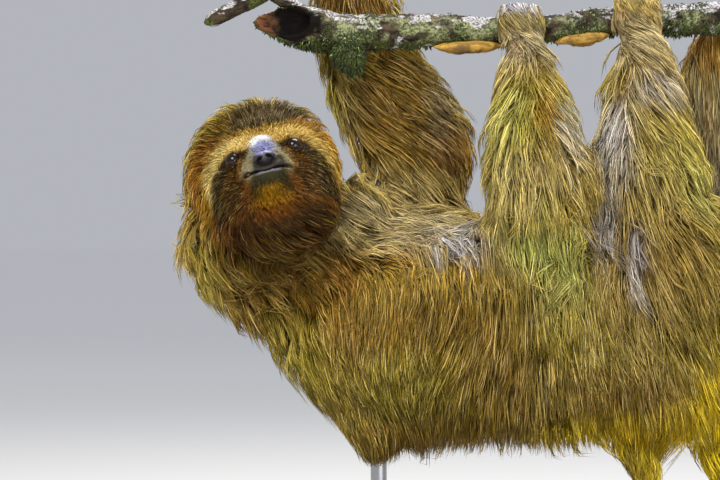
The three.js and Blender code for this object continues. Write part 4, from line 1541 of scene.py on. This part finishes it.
class SLOTH_OT_moss(bpy.types.Operator):
    """Moss on the branch and the clump that hangs from it"""

    bl_idname = "sloth.moss"
    bl_label = "Moss"

    def execute(self, context):
        clump = copy_node("perch_moss", "moss_clump")
        roughen(clump, size=0.0012, smooth=4, ridges=1.0, lumps=2.0)
        set_all(clump, along=0.1, tone=0.25)
        material = moss_material()
        cover(clump, material, "moss", "perch_moss")
        rng = np.random.default_rng(MOSS_SEED)
        for name, count, reach in MOSSES:
            mesh = bpy.data.objects[name].data
            points, tris = to_body(get_points(mesh)), triangles(mesh)
            corners = points[tris]
            centre, facing = corners.mean(axis=1), across(corners)
            normal, area = unit(facing), np.linalg.norm(facing, axis=1)
            if name == "branch":
                for share in mossiness(mesh, tris, centre, normal):
                    area = area * share
            index = rng.choice(len(tris), count, p=area / area.sum())
            roots = centre[index] + rng.normal(0, 0.5, (count, 3))
            heading = unit(normal[index] + rng.normal(0, 0.8, (count, 3)) + DOWN * 0.2)
            length = (reach * rng.uniform(0.4, 1.2, count))[:, None, None]
            t = np.linspace(0, 1, STEPS + 1)[None, :, None]
            paths = roots[:, None] + heading[:, None] * (length * t) + DOWN * (length * 0.5 * t ** 2)
            ups = np.repeat(unit(np.cross(heading, [0.3, 0.5, 0.8]))[:, None], STEPS + 1, axis=1)
            tone, width = rng.beta(1.6, 2.2, count), rng.uniform(0.8, 1.5, count)
            unmarked, patch = np.zeros((count, 3)), fill_map(roots[:, [0, 2]])
            cover(weave(f"{name}_moss", paths, ups, width, 2, unmarked, tone, patch), material, "moss")
        return {"FINISHED"}


# ---- stand

# Edges sharper than this are rounded; the base's upright corners have a radius of their own.
EDGE_ANGLE, CORNER_ROUND = math.radians(40), 0.026


def wood_material():
    """Dark oiled hardwood."""
    brush = Brush("base_wood")
    rings = brush.node("ShaderNodeTexWave", {"wave_type": "BANDS", "bands_direction": "Y"}, {
        "Vector": brush.place((0.35, 1, 1)), "Scale": 14.0, "Distortion": 5.0, "Detail": 3.0,
        "Detail Scale": 1.6})
    pores = brush.noise(520, 4.0, (0.06, 1, 1))
    colour = brush.mix(rings, "3a2415", "5d3c22")
    colour = brush.mix(pores.over(0.45, 0.7) * 0.6, colour, "22130a")
    bump = brush.bump(pores, 0.2, 0.0005)
    return brush.finish(Base_Color=colour, Roughness=pores * 0.2 + 0.34, Normal=bump)


def steel_material():
    """Brushed steel, the marks running round the rod."""
    brush = Brush("rod_steel")
    marks = brush.noise(700, 3.0, (0.2, 0.2, 3))
    colour = brush.mix(marks, "8f9194", "b9bbbd")
    return brush.finish(Base_Color=colour, Metallic=1.0, Roughness=marks * 0.2 + 0.28)


def round_edges(piece, width, segments):
    modify(piece, "BEVEL", width=width, segments=segments, limit_method="ANGLE", angle_limit=EDGE_ANGLE)
    pick(piece)
    bpy.ops.object.shade_smooth_by_angle(angle=EDGE_ANGLE)


class SLOTH_OT_stand(bpy.types.Operator):
    """The flat wooden base and the two steel rods"""

    bl_idname = "sloth.stand"
    bl_label = "Stand"

    def execute(self, context):
        low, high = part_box("stand_base")
        deselect()
        bpy.ops.mesh.primitive_cube_add(size=1, location=(low + high) / 2)
        context.object.scale = high - low
        base = settle("base_board")
        with editing(base, "EDGE", None):
            shell = bmesh.from_edit_mesh(base.data)
            for edge in shell.edges:
                edge.select_set(abs(edge.verts[0].co.z - edge.verts[1].co.z) > MM)
            bmesh.update_edit_mesh(base.data)
            bpy.ops.mesh.bevel(offset=CORNER_ROUND, segments=12, affect="EDGES")
        round_edges(base, width=0.003, segments=4)
        cover(base, wood_material(), "base", "stand_base")
        steel = steel_material()
        for n in (1, 2):
            low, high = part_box(f"stand_rod_{n}")
            deselect()
            bpy.ops.mesh.primitive_cylinder_add(
                vertices=48, radius=(high.x - low.x) / 2, depth=high.z - low.z, location=(low + high) / 2)
            rod = settle(f"steel_rod_{n}")
            round_edges(rod, width=0.0008, segments=3)
            cover(rod, steel, "rod", f"stand_rod_{n}")
        return {"FINISHED"}


# ---- stage


class StageSettings(bpy.types.PropertyGroup):
    floor: colour_property("Floor", "c6c4c0", "Floor and backdrop")
    key: power_property("Key light", 40.0, "Power of the main light")
    fill: power_property("Fill light", 26.0, "Power of the fill light")
    rim: power_property("Top light", 40.0, "Power of the light from above and behind")
    sky: FloatProperty(name="Room light", description="Strength of the even room light", default=0.5)


# The floor pales away from its middle, so that its far edge is lost against the room.
FLOOR_SIZE, FAR_FLOOR = 160.0, "fcfcfc"
CAMERA_AT, LENS, SENSOR, CAMERA_REACH = (0.0, -2200.0, 255.0), 148.5, 36, 120
ROOM_COLOUR = (0.9, 0.93, 1.0, 1)
# Each lamp: its setting, its name, its place, its size in metres and its colour; all are aimed at MIDDLE.
MIDDLE = (80, 0, 250)
LAMPS = [
    ("key", "key_light", (-450, -1700, 1450), 1.1, (1.0, 0.98, 0.95)),
    ("fill", "fill_light", (1100, -1650, 200), 1.4, (0.93, 0.96, 1.0)),
    ("rim", "top_light", (300, 500, 1700), 1.2, (0.96, 0.97, 1.0)),
]


def floor_material(colour):
    brush = Brush("pale_floor")
    away = brush.node("ShaderNodeVectorMath", {"operation": "LENGTH"}, {0: brush.place()}, "Value")
    return brush.finish(Base_Color=brush.mix(away.over(0.7, 4.0), tuple(colour), FAR_FLOOR), Roughness=0.9)


class SLOTH_OT_stage(bpy.types.Operator):
    """Floor and backdrop, soft studio light and the camera"""

    bl_idname = "sloth.stage"
    bl_label = "Stage"

    def execute(self, context):
        scene, settings = context.scene, context.scene.sloth_stage
        deselect()
        bpy.ops.mesh.primitive_grid_add(x_subdivisions=2, y_subdivisions=2, size=FLOOR_SIZE)
        floor = context.object
        floor.name = "floor"
        floor.data.materials.append(floor_material(settings.floor))
        for setting, name, place, size, colour in LAMPS:
            light = bpy.data.lights.new(name, "AREA")
            light.shape, light.size, light.color = "DISK", size, colour
            light.energy = getattr(settings, setting)
            lamp = new_piece(name, light)
            lamp.location = to_frame([place])[0]
            lamp.rotation_euler = (Vector(MIDDLE) - Vector(place)).to_track_quat("-Z", "Y").to_euler()
        scene.world = bpy.data.worlds.new("room")
        scene.world.use_nodes = True
        room = scene.world.node_tree.nodes["Background"].inputs
        room["Color"].default_value, room["Strength"].default_value = ROOM_COLOUR, settings.sky
        scene.view_settings.view_transform = "Standard"
        camera = new_piece("camera", bpy.data.cameras.new("camera"))
        camera.location = to_frame([CAMERA_AT])[0]
        camera.rotation_euler = (math.pi / 2, 0, 0)
        camera.data.lens, camera.data.sensor_width, camera.data.clip_end = LENS, SENSOR, CAMERA_REACH
        scene.camera = camera
        return {"FINISHED"}


# ---- panel and run

STEPS_IN_ORDER = [
    "skin", "eyes", "nose", "claws", "body_coat", "head_coat", "perch", "moss", "stand", "stage"]


class SLOTH_PT_panel(bpy.types.Panel):
    """Everything that makes the sloth, in order"""

    bl_idname = "SLOTH_PT_panel"
    bl_label = "Three-toed sloth"
    bl_space_type = "VIEW_3D"
    bl_region_type = "UI"
    bl_category = "Sloth"

    def draw(self, context):
        for step in STEPS_IN_ORDER:
            self.layout.operator(f"sloth.{step}")
        for group in GROUPS:
            settings = getattr(context.scene, group)
            column = self.layout.column(align=True)
            for name in type(settings).__annotations__:
                column.prop(settings, name)


GROUPS = {
    "sloth_skin": SkinSettings, "sloth_coat": CoatSettings, "sloth_colours": CoatColours,
    "sloth_stage": StageSettings}
CLASSES = [
    *GROUPS.values(), SLOTH_OT_skin, SLOTH_OT_body_coat, SLOTH_OT_head_coat, SLOTH_OT_eyes, SLOTH_OT_nose,
    SLOTH_OT_claws, SLOTH_OT_perch, SLOTH_OT_moss, SLOTH_OT_stand, SLOTH_OT_stage, SLOTH_PT_panel]


def register():
    for one in CLASSES:
        bpy.utils.register_class(one)
    for name, group in GROUPS.items():
        setattr(bpy.types.Scene, name, PointerProperty(type=group))


def unregister():
    for name in GROUPS:
        delattr(bpy.types.Scene, name)
    for one in reversed(CLASSES):
        bpy.utils.unregister_class(one)


def main():
    register()
    for step in STEPS_IN_ORDER:
        getattr(bpy.ops.sloth, step)()


if __name__ == "__main__":
    main()
